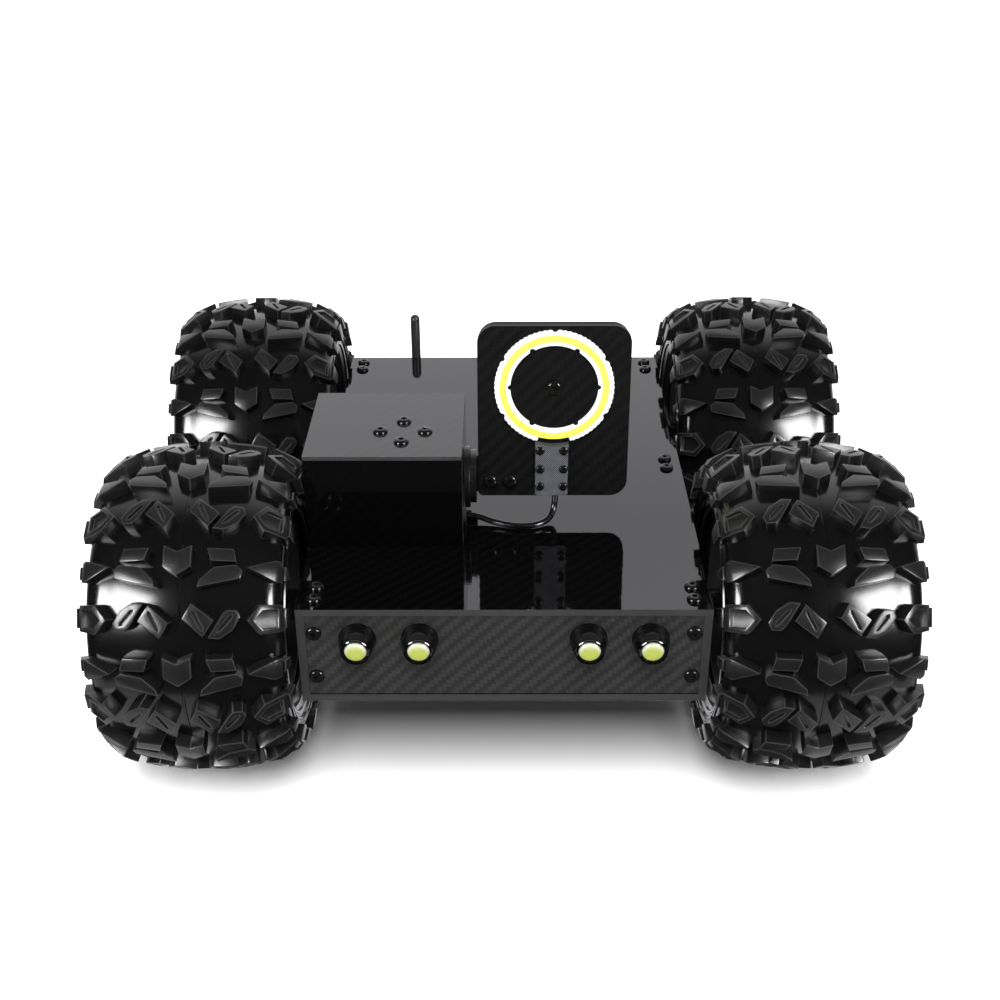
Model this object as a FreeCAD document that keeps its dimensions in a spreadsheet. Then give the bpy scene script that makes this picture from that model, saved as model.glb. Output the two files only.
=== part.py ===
import FreeCAD, Part
import Sketcher
import math
import os
from FreeCAD import Placement, Rotation, Vector

# Four wheel robot chassis: a flat carbon-plate body with four geared wheel motors,
# a servo box on the deck that tilts a phone plate with a ring light, and an antenna.
# Millimetres.  Origin on the floor at mid wheelbase, X to the right, front towards -Y.

DIMENSIONS = {
    # body
    "body_width": 196.0, "body_front": -156.0, "body_length": 288.5,
    "body_bottom": 66.0, "body_height": 53.5, "floor_thick": 4.0, "deck_thick": 3.5,
    "wall_thick": 4.0, "panel_thick": 3.0, "panel_inset": 0.6,
    "rail_width": 8.0, "rail_height": 6.0, "post_depth": 10.0,
    # button screws of the plates (4 mm thread)
    "screw_head_dia": 7.5, "screw_head_tall": 2.2, "screw_thread_dia": 3.9,
    "screw_reach": 8.0, "screw_hole_dia": 4.3, "hex_key": 2.5,
    "deck_screw_x": 90.0, "deck_screw_gap": 10.5, "deck_screw_front": -142.0,
    "deck_screw_mid": -13.0, "deck_screw_rear": 118.5,
    "panel_screw_x": 90.1, "panel_screw_z": 93.4, "panel_screw_half": 12.5,
    # wheels and drive
    "wheel_base": 198.0, "wheel_track": 300.0, "axle_height": 84.0,
    "tyre_radius": 84.0, "tyre_width": 99.0, "carcass_radius": 77.0, "bead_radius": 48.5,
    "rim_half_width": 38.0, "lip_radius": 52.0, "web_inner": 144.0, "web_outer": 152.0,
    "gearbox_dia": 37.0, "gearbox_length": 24.0, "motor_dia": 34.0, "motor_length": 31.0,
    "shaft_offset": 7.0, "shaft_dia": 6.0, "boss_dia": 12.0, "hub_dia": 16.0,
    "hex_flats": 17.0, "stub_dia": 8.0,
    # lamps in the front panel
    "lamp_outer_x": 69.5, "lamp_inner_x": 40.0, "lamp_z": 102.6, "lamp_flange_dia": 18.0,
    "lamp_reach": 11.6, "lamp_rim_dia": 14.0, "lens_dia": 10.4, "lamp_thread_dia": 13.6,
    # servo box on the deck
    "box_left": -98.0, "box_right": -20.5, "box_front": -100.0, "box_back": -28.0,
    "box_height": 51.0, "box_wall": 3.0, "lid_thick": 2.0,
    "lid_screw_x": -50.7, "lid_screw_y": -73.4, "lid_screw_half": 11.2,
    # tilting head
    "tilt_y": -62.3, "tilt_z": 138.8, "tilt_disc_dia": 32.0, "tilt_lean": 4.8,
    "plate_left": -13.2, "plate_width": 76.4, "plate_bottom": 131.3, "plate_top": 222.6,
    "plate_front": -64.3, "plate_thick": 3.0, "plate_corner": 9.0,
    "pad_thick": 5.0, "pad_rise": 5.5,
    "ring_x": 25.2, "ring_z": 190.8, "ring_outer_dia": 60.0, "ring_inner_dia": 44.0,
    "board_thick": 1.2, "glow_thick": 0.8, "glow_outer_dia": 55.6, "glow_inner_dia": 47.2,
    "clamp_x": 24.3, "clamp_width": 16.6, "clamp_bottom": 133.6, "clamp_top": 164.4, "clamp_thick": 4.6,
    "cable_dia": 3.2,
    # rear panel fittings
    "antenna_x": -58.0, "antenna_z": 94.0, "antenna_dia": 6.0, "antenna_top": 142.0,
    "switch_x": 20.0, "switch_z": 93.0, "jack_x": 62.0, "jack_z": 93.0, "jack_bore_dia": 5.5,
}

doc = FreeCAD.newDocument("four_wheel_robot_chassis")
sheet = doc.addObject("Spreadsheet::Sheet", "Dimensions")
for row, (alias, value) in enumerate(DIMENSIONS.items(), start=1):
    sheet.set("A%d" % row, alias)
    sheet.set("B%d" % row, str(value))
    sheet.setAlias("B%d" % row, alias)
doc.recompute()

X_AXIS = Vector(1, 0, 0)
Y_AXIS = Vector(0, 1, 0)
Z_AXIS = Vector(0, 0, 1)
nodes = []


def dim(alias):
    """Value of one cell of the sheet."""
    return float(getattr(sheet, alias))


def bind(obj, prop, expression):
    """Tie a property to cells; every name in DIMENSIONS becomes a sheet reference."""
    words = []
    for word in expression.replace("(", " ( ").replace(")", " ) ").split():
        words.append("Dimensions." + word if word in DIMENSIONS else word)
    obj.setExpression(prop, " ".join(words))


def keep(obj, label):
    """Mark an object as a finished sub-part."""
    obj.Label = label
    nodes.append(obj)
    return obj


def place(obj, x="0", y="0", z="0"):
    bind(obj, "Placement.Base.x", x)
    bind(obj, "Placement.Base.y", y)
    bind(obj, "Placement.Base.z", z)
    return obj


def box(name, low, size):
    """Block with its low corner and its three sizes given as sheet expressions."""
    obj = doc.addObject("Part::Box", name)
    for prop, expression in zip(("Length", "Width", "Height"), size):
        bind(obj, prop, expression)
    return place(obj, *low)


def rod(name, at, diameter, length, axis=Z_AXIS):
    """Cylinder that starts at a point and runs along an axis."""
    obj = doc.addObject("Part::Cylinder", name)
    bind(obj, "Radius", "( " + diameter + " ) / 2")
    bind(obj, "Height", length)
    obj.Placement.Rotation = Rotation(Z_AXIS, axis)
    return place(obj, *at)


def union(name, parts):
    obj = doc.addObject("Part::MultiFuse", name)
    obj.Shapes = parts
    return obj


def minus(name, base, tools):
    obj = doc.addObject("Part::Cut", name)
    obj.Base = base
    obj.Tool = tools[0] if len(tools) == 1 else union(name + "_tools", tools)
    return obj


def feature(label, shape, placement=None):
    """Sub-part whose shape is worked out from the sheet by a function."""
    obj = doc.addObject("Part::Feature", label)
    obj.Shape = shape
    if placement is not None:
        obj.Placement = placement
    return keep(obj, label)


def origin_plane(body, role):
    return [item for item in body.Origin.OriginFeatures if item.Role == role][0]


def plate(label, role, width, depth, thickness, at, circles=(), rotation=None):
    """Plate as a body: a rectangle sketch from its low corner, padded, with round holes.

    circles holds (x, y, diameter) expressions measured from the low corner."""
    body = doc.addObject("PartDesign::Body", label)
    sketch = body.newObject("Sketcher::SketchObject", label + "_outline")
    sketch.AttachmentSupport = (origin_plane(body, role), "")
    sketch.MapMode = "FlatFace"
    corners = [Vector(0, 0, 0), Vector(100, 0, 0), Vector(100, 60, 0), Vector(0, 60, 0)]
    for index in range(4):
        sketch.addGeometry(Part.LineSegment(corners[index], corners[(index + 1) % 4]), False)
    for index in range(4):
        sketch.addConstraint(Sketcher.Constraint("Coincident", index, 2, (index + 1) % 4, 1))
    for index, way in enumerate(("Horizontal", "Vertical", "Horizontal", "Vertical")):
        sketch.addConstraint(Sketcher.Constraint(way, index))
    sketch.addConstraint(Sketcher.Constraint("Coincident", 0, 1, -1, 1))
    across = sketch.addConstraint(Sketcher.Constraint("DistanceX", 0, 1, 0, 2, 100))
    along = sketch.addConstraint(Sketcher.Constraint("DistanceY", 1, 1, 1, 2, 60))
    bind(sketch, "Constraints[%d]" % across, width)
    bind(sketch, "Constraints[%d]" % along, depth)
    for count, (cx, cy, diameter) in enumerate(circles):
        centre = Vector(8 + 5 * count, 30, 0)
        hole = sketch.addGeometry(Part.Circle(centre, Z_AXIS, 1.5), False)
        rules = (("DistanceX", -1, 1, hole, 3, centre.x, cx),
                 ("DistanceY", -1, 1, hole, 3, centre.y, cy))
        for kind, *where, start, expression in rules:
            index = sketch.addConstraint(Sketcher.Constraint(kind, *where, start))
            bind(sketch, "Constraints[%d]" % index, expression)
        index = sketch.addConstraint(Sketcher.Constraint("Diameter", hole, 3.0))
        bind(sketch, "Constraints[%d]" % index, diameter)
    pad = body.newObject("PartDesign::Pad", label + "_pad")
    pad.Profile = sketch
    bind(pad, "Length", thickness)
    sketch.Visibility = False
    if rotation is not None:
        body.Placement.Rotation = rotation
    place(body, *at)
    return keep(body, label)


def hex_prism(flats, length):
    """Hexagonal prism along Z from the origin."""
    corner = flats / math.sqrt(3)
    points = [Vector(corner * math.cos(math.radians(60 * k)), corner * math.sin(math.radians(60 * k)), 0)
              for k in range(7)]
    return Part.Face(Part.makePolygon(points)).extrude(Vector(0, 0, length))


def button_screw(head_dia, head_tall, thread_dia, reach, key):
    """Domed screw along Z: the head stands on z = 0 and the thread runs down."""
    dome_radius = (head_dia ** 2 / 4 + head_tall ** 2) / (2 * head_tall)
    dome = Part.makeSphere(dome_radius, Vector(0, 0, head_tall - dome_radius))
    head = Part.makeCylinder(head_dia / 2, head_tall).common(dome)
    body = head.fuse(Part.makeCylinder(thread_dia / 2, reach, Vector(0, 0, -reach)))
    socket = hex_prism(key, head_tall)
    socket.translate(Vector(0, 0, head_tall * 0.35))
    return body.cut(socket)


def copies(shape, seats):
    """Group of equal pieces, one at each (point, axis) seat."""
    group = []
    for point, axis in seats:
        piece = shape.copy()
        piece.Placement = Placement(Vector(*point), Rotation(Z_AXIS, axis))
        group.append(piece)
    return Part.makeCompound(group)


# ---------------------------------------------------------------- body frame
body_back = "body_front + body_length"
inner_low = "body_bottom + floor_thick"
inner_height = "body_height - floor_thick - deck_thick"
deck_rows = ["deck_screw_front", "deck_screw_mid", "deck_screw_rear"]


def deck_circles():
    circles = []
    for side in ("-", "+"):
        for middle in deck_rows:
            for step in ("-", "+"):
                circles.append(("body_width / 2 %s deck_screw_x" % side,
                                "%s %s deck_screw_gap / 2 - body_front" % (middle, step),
                                "screw_hole_dia"))
    return circles


def floor_seats():
    """Places of the six screws that hold the floor to the posts and blocks."""
    half = dim("post_depth") / 2
    first = dim("body_front") + dim("panel_inset") + dim("panel_thick") + half
    last = dim("body_front") + dim("body_length") - dim("panel_inset") - dim("panel_thick") - half
    return [(side * dim("deck_screw_x"), y) for side in (-1, 1) for y in (first, dim("deck_screw_mid"), last)]


floor_circles = []
for seat_x, seat_y in floor_seats():
    floor_circles.append(("body_width / 2 + %s" % seat_x, "%s - body_front" % seat_y, "screw_hole_dia"))

corner_x = "0 - body_width / 2"
plate("bottom_plate", "XY_Plane", "body_width", "body_length", "floor_thick",
      (corner_x, "body_front", "body_bottom"), floor_circles)
wire_hole = ("body_width / 2 + box_left + 14", "box_back - body_front - 14", "12")
plate("top_deck", "XY_Plane", "body_width", "body_length", "deck_thick",
      (corner_x, "body_front", "body_bottom + body_height - deck_thick"), deck_circles() + [wire_hole])

motor_screw_circle = 15.5
motor_screw_count = 6


def motor_screw_places():
    """Offsets (y, z) of the gearbox screws from the gearbox axis."""
    angles = [math.radians(360 / motor_screw_count * k) for k in range(motor_screw_count)]
    return [(motor_screw_circle * math.cos(a), motor_screw_circle * math.sin(a)) for a in angles]


side_circles = []
side_screw_y = [dim("deck_screw_front"), dim("deck_screw_mid"), dim("deck_screw_rear") + 6]
rail_middle = "body_height - deck_thick - rail_height / 2 - floor_thick"
for axle in ("- wheel_base / 2", "+ wheel_base / 2"):
    side_circles.append(("0 %s - body_front" % axle, "axle_height - body_bottom - floor_thick",
                         "boss_dia + 0.6"))
    gearbox_z = "axle_height + shaft_offset - body_bottom - floor_thick"
    for screw_y, screw_z in motor_screw_places():
        side_circles.append(("0 %s - body_front + %.3f" % (axle, screw_y),
                             "%s + %.3f" % (gearbox_z, screw_z), "3.2"))
for screw_y in side_screw_y:
    side_circles.append(("%s - body_front" % screw_y, rail_middle, "screw_hole_dia"))
for name, low in (("side_plate_left", "0 - body_width / 2"),
                  ("side_plate_right", "body_width / 2 - wall_thick")):
    plate(name, "YZ_Plane", "body_length", inner_height, "wall_thick", (low, "body_front", inner_low),
          side_circles)

panel_width = "body_width - 2 * wall_thick"
panel_screws = []
for side in ("-", "+"):
    for step in ("-", "+"):
        panel_screws.append(("( %s ) / 2 %s panel_screw_x" % (panel_width, side),
                             "panel_screw_z %s panel_screw_half - body_bottom - floor_thick" % step,
                             "screw_hole_dia"))
lamp_places = ["- lamp_outer_x", "- lamp_inner_x", "+ lamp_inner_x", "+ lamp_outer_x"]
lamp_holes = [("( %s ) / 2 %s" % (panel_width, place_x), "lamp_z - body_bottom - floor_thick",
               "lamp_thread_dia + 0.4") for place_x in lamp_places]
panel_low = "0 - body_width / 2 + wall_thick"
plate("front_panel", "XZ_Plane", panel_width, inner_height, "panel_thick",
      (panel_low, "body_front + panel_inset + panel_thick", inner_low), panel_screws + lamp_holes)
rear_holes = [("( %s ) / 2 + antenna_x" % panel_width, "antenna_z - body_bottom - floor_thick", "6.6"),
              ("( %s ) / 2 + jack_x" % panel_width, "jack_z - body_bottom - floor_thick", "11.2")]
rear_sheet = plate("rear_sheet", "XZ_Plane", panel_width, inner_height, "panel_thick",
                   (panel_low, "%s - panel_inset" % body_back, inner_low), panel_screws + rear_holes)
nodes.remove(rear_sheet)
switch_width = 19.4
switch_height = 13.2
switch_slot = box("switch_slot", ("switch_x - %s / 2" % switch_width, "%s - 10" % body_back,
                                  "switch_z - %s / 2" % switch_height),
                  (str(switch_width), "20", str(switch_height)))
keep(minus("rear_panel_cut", rear_sheet, [switch_slot]), "rear_panel")

# Rails under the deck and posts behind the panels take the threads of the screws.
rail_z = "body_bottom + body_height - deck_thick - rail_height"
rail_y = "body_front + panel_inset + panel_thick"
rail_length = "body_length - 2 * panel_inset - 2 * panel_thick"
thread_dia = "screw_thread_dia + 0.2"
rails = []
for name, low in (("rail_left", "0 - body_width / 2 + wall_thick"),
                  ("rail_right", "body_width / 2 - wall_thick - rail_width")):
    rails.append(box(name, (low, rail_y, rail_z), ("rail_width", rail_length, "rail_height")))
rail_bores = []
for index, (cx, cy, _) in enumerate(deck_circles()):
    rail_bores.append(rod("rail_bore_%d" % index, (cx + " - body_width / 2", cy + " + body_front", rail_z),
                          thread_dia, "rail_height"))
for index, screw_y in enumerate(side_screw_y):
    rail_bores.append(rod("rail_side_bore_%d" % index, ("0 - body_width / 2", str(screw_y),
                                                        rail_z + " + rail_height / 2"),
                          thread_dia, "body_width", X_AXIS))
keep(minus("deck_rails_cut", union("rail_pair", rails), rail_bores), "deck_rails")

posts = []
post_bores = []
post_z = inner_low
post_tall = inner_height + " - rail_height"
for index, (seat_x, seat_y) in enumerate(floor_seats()):
    low_x = "%s - rail_width / 2" % seat_x
    tall = "12" if seat_y == dim("deck_screw_mid") else post_tall
    posts.append(box("post_%d" % index, (low_x, "%s - post_depth / 2" % seat_y, post_z),
                     ("rail_width", "post_depth", tall)))
    post_bores.append(rod("post_bore_%d" % index, (str(seat_x), str(seat_y), post_z), thread_dia, "9"))
for index, side in enumerate(("-", "+")):
    for step in ("-", "+"):
        bore_at = ("0 %s panel_screw_x" % side, "body_front", "panel_screw_z %s panel_screw_half" % step)
        post_bores.append(rod("panel_bore_%d%s" % (index, "a" if step == "-" else "b"), bore_at,
                              thread_dia, "body_length", Y_AXIS))
keep(minus("posts_cut", union("post_set", posts), post_bores), "mounting_blocks")

# ---------------------------------------------------------------- screws
deck_top = dim("body_bottom") + dim("body_height")
lid_top = deck_top + dim("box_height")
half_gap = dim("deck_screw_gap") / 2
button_seats = []
for side in (-1, 1):
    for middle in deck_rows:
        for step in (-1, 1):
            at = (side * dim("deck_screw_x"), dim(middle) + step * half_gap, deck_top)
            button_seats.append((at, Z_AXIS))
    for screw_y in side_screw_y:
        rail_mid_z = deck_top - dim("deck_thick") - dim("rail_height") / 2
        button_seats.append(((side * dim("body_width") / 2, screw_y, rail_mid_z), X_AXIS * side))
    for step in (-1, 1):
        screw_z = dim("panel_screw_z") + step * dim("panel_screw_half")
        front_y = dim("body_front") + dim("panel_inset")
        back_y = dim("body_front") + dim("body_length") - dim("panel_inset")
        button_seats.append(((side * dim("panel_screw_x"), front_y, screw_z), Y_AXIS * -1))
        button_seats.append(((side * dim("panel_screw_x"), back_y, screw_z), Y_AXIS))
lid_screw_steps = ((-1, 0), (1, 0), (0, -1), (0, 1))
for step_x, step_y in lid_screw_steps:
    button_seats.append(((dim("lid_screw_x") + step_x * dim("lid_screw_half"),
                          dim("lid_screw_y") + step_y * dim("lid_screw_half"), lid_top), Z_AXIS))
m4_screw = button_screw(dim("screw_head_dia"), dim("screw_head_tall"), dim("screw_thread_dia"),
                        dim("screw_reach"), dim("hex_key"))
feature("button_screws", copies(m4_screw, button_seats))
floor_low = dim("body_bottom")
feature("floor_screws", copies(m4_screw, [((x, y, floor_low), Z_AXIS * -1) for x, y in floor_seats()]))


# ---------------------------------------------------------------- round parts by outline
def turned(outline):
    """Solid of revolution about X from (x, radius) points."""
    points = [Vector(x, 0, radius) for x, radius in outline]
    face = Part.Face(Part.makePolygon(points + [points[0]]))
    return face.revolve(Vector(0, 0, 0), X_AXIS, 360)


def set_along(shape, point, axis):
    """Copy of an X-turned shape moved to a point with its X axis along the given one."""
    piece = shape.copy()
    piece.Placement = Placement(Vector(*point), Rotation(X_AXIS, axis))
    return piece


# ---------------------------------------------------------------- lamps
panel_face = dim("body_front") + dim("panel_inset")
flange_radius = dim("lamp_flange_dia") / 2
rim_radius = dim("lamp_rim_dia") / 2
lens_radius = dim("lens_dia") / 2
thread_radius = dim("lamp_thread_dia") / 2
reach = dim("lamp_reach")
lamp_outline = [(-14.0, lens_radius + 0.8), (reach - 2.2, lens_radius + 0.8), (reach - 0.6, lens_radius),
                (reach, lens_radius), (reach, rim_radius - 0.5), (reach - 0.6, rim_radius),
                (reach - 3.2, rim_radius + 1.0), (3.0, flange_radius - 0.6), (1.2, flange_radius),
                (0.0, flange_radius), (0.0, thread_radius), (-14.0, thread_radius)]
lens_outline = [(reach - 2.3, 0.0), (reach - 2.3, lens_radius + 0.7), (reach - 0.7, lens_radius - 0.1),
                (reach - 0.3, lens_radius - 0.6), (reach + 0.5, lens_radius * 0.6), (reach + 0.8, 0.0)]
lamp_points = [(side * dim(place_x), panel_face, dim("lamp_z"))
               for side, place_x in ((-1, "lamp_outer_x"), (-1, "lamp_inner_x"),
                                     (1, "lamp_inner_x"), (1, "lamp_outer_x"))]
front_way = Y_AXIS * -1
lamp_shell = turned(lamp_outline)
lamp_lens = turned(lens_outline)
nut_blank = hex_prism(18.0, 4.0).cut(Part.makeCylinder(thread_radius + 0.1, 4.0))
feature("lamp_housings", Part.makeCompound([set_along(lamp_shell, at, front_way) for at in lamp_points]))
feature("lamp_lenses", Part.makeCompound([set_along(lamp_lens, at, front_way) for at in lamp_points]))
nut_y = panel_face + dim("panel_thick")
feature("lamp_nuts", copies(nut_blank, [((x, nut_y, z), Y_AXIS) for x, _, z in lamp_points]))

# ---------------------------------------------------------------- gearmotors, in the right wheel's frame
inner_face = dim("body_width") / 2 - dim("wall_thick")
axle_z = dim("axle_height")
shaft_radius = dim("shaft_dia") / 2
boss_face = inner_face + dim("wall_thick") + 1.0
shaft_depth = 12.0


def gearmotor():
    """Motor with an offset gearbox; the output shaft turns about X through the origin."""
    lift = dim("shaft_offset")
    gearbox = Part.makeCylinder(dim("gearbox_dia") / 2, dim("gearbox_length"),
                                Vector(inner_face - dim("gearbox_length"), 0, lift), X_AXIS)
    can_start = inner_face - dim("gearbox_length") - dim("motor_length")
    can = Part.makeCylinder(dim("motor_dia") / 2, dim("motor_length"), Vector(can_start, 0, lift), X_AXIS)
    cap = Part.makeCylinder(6.0, 2.5, Vector(can_start - 2.5, 0, lift), X_AXIS)
    boss = Part.makeCylinder(dim("boss_dia") / 2, boss_face - inner_face, Vector(inner_face, 0, 0), X_AXIS)
    body = gearbox.fuse([can, cap, boss])
    tabs = [Part.makeBox(6.0, 0.8, 4.0, Vector(can_start - 6.0, side * 11.0, lift - 2.0)) for side in (-1, 1)]
    bore = Part.makeCylinder(shaft_radius + 0.05, 60.0, Vector(boss_face - shaft_depth, 0, 0), X_AXIS)
    holes = [Part.makeCylinder(1.3, 7.0, Vector(inner_face - 6.5, y, lift + z), X_AXIS)
             for y, z in motor_screw_places()]
    return body.fuse(tabs).cut([bore] + holes)


def drive_hub():
    """Output shaft with a clamping collar, a hexagon for the rim and a stub for the nut."""
    start = boss_face - shaft_depth + 0.5
    collar_start = boss_face + 1.0
    web = dim("web_inner")
    hex_start = web - 8.0
    shaft = Part.makeCylinder(shaft_radius, collar_start + 10.0 - start, Vector(start, 0, 0), X_AXIS)
    hub_radius = dim("hub_dia") / 2
    collar = Part.makeCylinder(hub_radius, hex_start - collar_start, Vector(collar_start, 0, 0), X_AXIS)
    collar = collar.fuse(Part.makeCylinder(hub_radius + 4.5, 2.0, Vector(hex_start - 2.0, 0, 0), X_AXIS))
    drive = hex_prism(dim("hex_flats"), 8.0 - 0.1)
    drive.Placement = Placement(Vector(hex_start, 0, 0), Rotation(Z_AXIS, X_AXIS))
    stub = Part.makeCylinder(dim("stub_dia") / 2, dim("web_outer") + 11.0 - web + 1.0,
                             Vector(web - 1.0, 0, 0), X_AXIS)
    grub = Part.makeCylinder(1.5, 10.0, Vector(collar_start + 5.0, 0, 0), Z_AXIS)
    return shaft.fuse([collar, drive, stub]).cut(grub)


def rim():
    """Deep rim: barrel with two lips, a dished web with six windows and a hex seat."""
    middle = dim("wheel_track") / 2
    half = dim("rim_half_width")
    lip = dim("lip_radius")
    seat = dim("bead_radius")
    web_in = dim("web_inner")
    web_out = dim("web_outer")
    bore = dim("stub_dia") / 2 + 0.1
    outline = [(web_in - 8.0, 10.2), (web_in - 8.0, 14.5), (web_in, 17.0), (web_in + 1.0, 40.0),
               (middle - half + 5.0, seat - 4.5), (middle - half, seat - 2.5), (middle - half, lip),
               (middle - half + 2.5, lip), (middle - half + 3.0, seat), (middle - half + 16.0, seat),
               (middle - half + 20.0, seat - 2.0), (middle + half - 20.0, seat - 2.0),
               (middle + half - 16.0, seat), (middle + half - 3.0, seat), (middle + half - 2.5, lip),
               (middle + half, lip), (middle + half, seat - 2.5), (middle + half - 5.0, seat - 4.5),
               (web_out + 3.0, 41.5), (web_out + 1.0, 38.5), (web_out - 1.0, 16.0), (web_out, 13.5),
               (web_out, bore), (web_in, bore), (web_in, 10.2)]
    wheel = turned(outline)
    window = Part.makeCylinder(7.2, 40.0, Vector(web_in - 10.0, 0, 27.5), X_AXIS)
    wide = Part.makeBox(40.0, 20.0, 6.5, Vector(web_in - 10.0, -10.0, 31.0))
    opening = window.fuse(wide)
    cuts = []
    for spoke in range(6):
        piece = opening.copy()
        piece.rotate(Vector(0, 0, 0), X_AXIS, 60.0 * spoke + 30.0)
        cuts.append(piece)
    return wheel.cut(cuts)


def wheel_nut():
    """Flanged hexagon nut on the stub."""
    nut = hex_prism(dim("hex_flats"), 7.0)
    nut = nut.fuse(Part.makeCylinder(11.0, 1.8)).cut(Part.makeCylinder(dim("stub_dia") / 2 + 0.05, 7.0))
    seat = Placement(Vector(dim("web_outer"), 0, 0), Rotation(Z_AXIS, X_AXIS))
    return nut.transformed(seat.toMatrix(), True)


# Tread blocks as (u, v) outlines: u runs across the tyre from its middle, v along the
# tread.  The first row's pair repeats half a turn round, the other blocks in the mirror.
diamond_block = [(3.2, 1.0), (7.0, 8.3), (17.2, 0.3), (12.3, -7.4)]
leaning_block = [(14.6, -7.6), (21.4, 4.0), (27.3, 5.0), (29.0, 1.5), (25.6, -4.4), (19.0, -8.8)]
shoulder_pentagon = [(32.4, 0.0), (37.6, 7.4), (50.0, 7.4), (50.0, -7.4), (37.6, -7.4)]
chevron = [(0.0, -4.0), (6.4, -0.3), (6.4, 10.5), (0.0, 7.3), (-6.4, 10.5), (-6.4, -0.3)]
small_block = [(15.4, 3.2), (26.6, 3.0), (24.9, 9.0), (13.4, 9.0)]
long_blade = [(9.8, -9.6), (28.6, -5.0), (29.6, -1.0), (26.4, 1.4), (16.8, 0.0), (10.6, -6.0)]
shoulder_triangle = [(31.8, 0.6), (44.6, 5.4), (50.0, 5.0), (50.0, -5.4), (44.4, -5.4)]
tread_rows = 10
row_step = 360.0 / tread_rows
second_row = 18.8


def section(half):
    """Full outline of a tyre section from the (u, radius) points of its right half, foot first."""
    return half + [(-u, radius) for u, radius in reversed(half[:-1])]


def prism(outline):
    """Upright block over a (u, v) outline, from inside the tyre to above it."""
    points = [Vector(u, v, 56.0) for u, v in outline]
    return Part.Face(Part.makePolygon(points + [points[0]])).extrude(Vector(0, 0, 40.0))


def half_turned(outline):
    return [(-u, -v) for u, v in outline]


def mirrored(outline):
    return [(-u, v) for u, v in outline]


def tyre():
    """Hollow carcass with ten pairs of tread rows, centred on the origin."""
    top = dim("carcass_radius")
    tall = dim("tyre_radius")
    half_width = dim("tyre_width") / 2
    side = half_width - 4.0
    bead = dim("bead_radius") + 0.1
    foot = dim("rim_half_width") - 3.2
    outer = [(foot, bead), (foot, bead + 4.0), (side - 2.4, bead + 7.5), (side, 63.0), (side - 1.4, 69.0),
             (34.2, top - 4.7), (18.0, top - 1.3), (0.0, top)]
    inner = [(foot - 3.5, bead), (foot - 3.5, bead + 4.5), (side - 3.8, 60.0), (side - 3.8, 65.4),
             (32.8, top - 7.8), (0.0, top - 3.2)]
    core = [(foot - 1.8, bead), (foot - 1.8, bead + 5.0), (side - 1.8, 60.5), (side - 1.8, 65.0),
            (33.5, top - 6.2), (0.0, top - 1.6)]
    crown = [(half_width, 63.1), (half_width - 2.2, 71.4), (36.0, tall - 5.0), (18.0, tall - 1.25),
             (0.0, tall)]
    carcass = turned(section(outer) + list(reversed(section(inner))))
    band = turned(section(crown)).cut(turned(section(core)))
    row_a = []
    for outline in (diamond_block, leaning_block):
        row_a += [outline, half_turned(outline)]
    row_a += [shoulder_pentagon, mirrored(shoulder_pentagon)]
    row_b = [chevron]
    for outline in (small_block, long_blade, shoulder_triangle):
        row_b += [outline, mirrored(outline)]
    lugs = []
    for outlines, offset in ((row_a, 0.0), (row_b, second_row)):
        blocks = [prism(outline).common(band) for outline in outlines]
        for row in range(tread_rows):
            for block in blocks:
                piece = block.copy()
                piece.rotate(Vector(0, 0, 0), X_AXIS, row_step * row + offset)
                lugs.append(piece)
    return carcass.fuse(lugs)


# Angle of the first tread row from the top, turning towards the front.
tread_phase = {"front": 25.1, "rear": 33.7}
tyre_shape = tyre()
motor_shape = gearmotor()
hub_shape = drive_hub()
rim_shape = rim()
nut_shape = wheel_nut()
motor_screw = button_screw(5.5, 1.5, 2.5, 6.0, 2.0)
motor_screw_seats = []
for end, end_y in (("front", -dim("wheel_base") / 2), ("rear", dim("wheel_base") / 2)):
    for side_name, side in (("left", -1), ("right", 1)):
        corner = "%s_%s" % (end, side_name)
        turn = Rotation(Z_AXIS, 0 if side > 0 else 180)
        seat = Placement(Vector(0, end_y, axle_z), turn)
        feature("gearmotor_" + corner, motor_shape.copy(), seat)
        feature("drive_hub_" + corner, hub_shape.copy(), seat)
        feature("rim_" + corner, rim_shape.copy(), seat)
        feature("wheel_nut_" + corner, nut_shape.copy(), seat)
        tyre_seat = Vector(side * dim("wheel_track") / 2, end_y, axle_z)
        feature("tyre_" + corner, tyre_shape.copy(),
                Placement(tyre_seat, Rotation(X_AXIS, tread_phase[end])))
        for y, z in motor_screw_places():
            motor_screw_seats.append(((side * dim("body_width") / 2, end_y + side * y,
                                       axle_z + dim("shaft_offset") + z), X_AXIS * side))
feature("motor_screws", copies(motor_screw, motor_screw_seats))


# ---------------------------------------------------------------- servo box on the deck
box_width = "box_right - box_left"
box_depth = "box_back - box_front"
box_floor = "body_bottom + body_height"
wall_height = "box_height - lid_thick"
side_depth = "box_back - box_front - 2 * box_wall"
lid_z = box_floor + " + " + wall_height
lid_blank = box("lid_blank", ("box_left", "box_front", lid_z), (box_width, box_depth, "lid_thick"))
lid_holes = []
for index, (step_x, step_y) in enumerate(lid_screw_steps):
    lid_holes.append(rod("lid_hole_%d" % index, ("lid_screw_x + %d * lid_screw_half" % step_x,
                                                 "lid_screw_y + %d * lid_screw_half" % step_y, lid_z),
                         "screw_hole_dia", "lid_thick"))
keep(minus("lid_cut", lid_blank, lid_holes), "box_lid")
for name, low in (("box_front_wall", "box_front"), ("box_back_wall", "box_back - box_wall")):
    keep(box(name, ("box_left", low, box_floor), (box_width, "box_wall", wall_height)), name)
keep(box("box_left_wall", ("box_left", "box_front + box_wall", box_floor),
         ("box_wall", side_depth, wall_height)), "box_left_wall")

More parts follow.
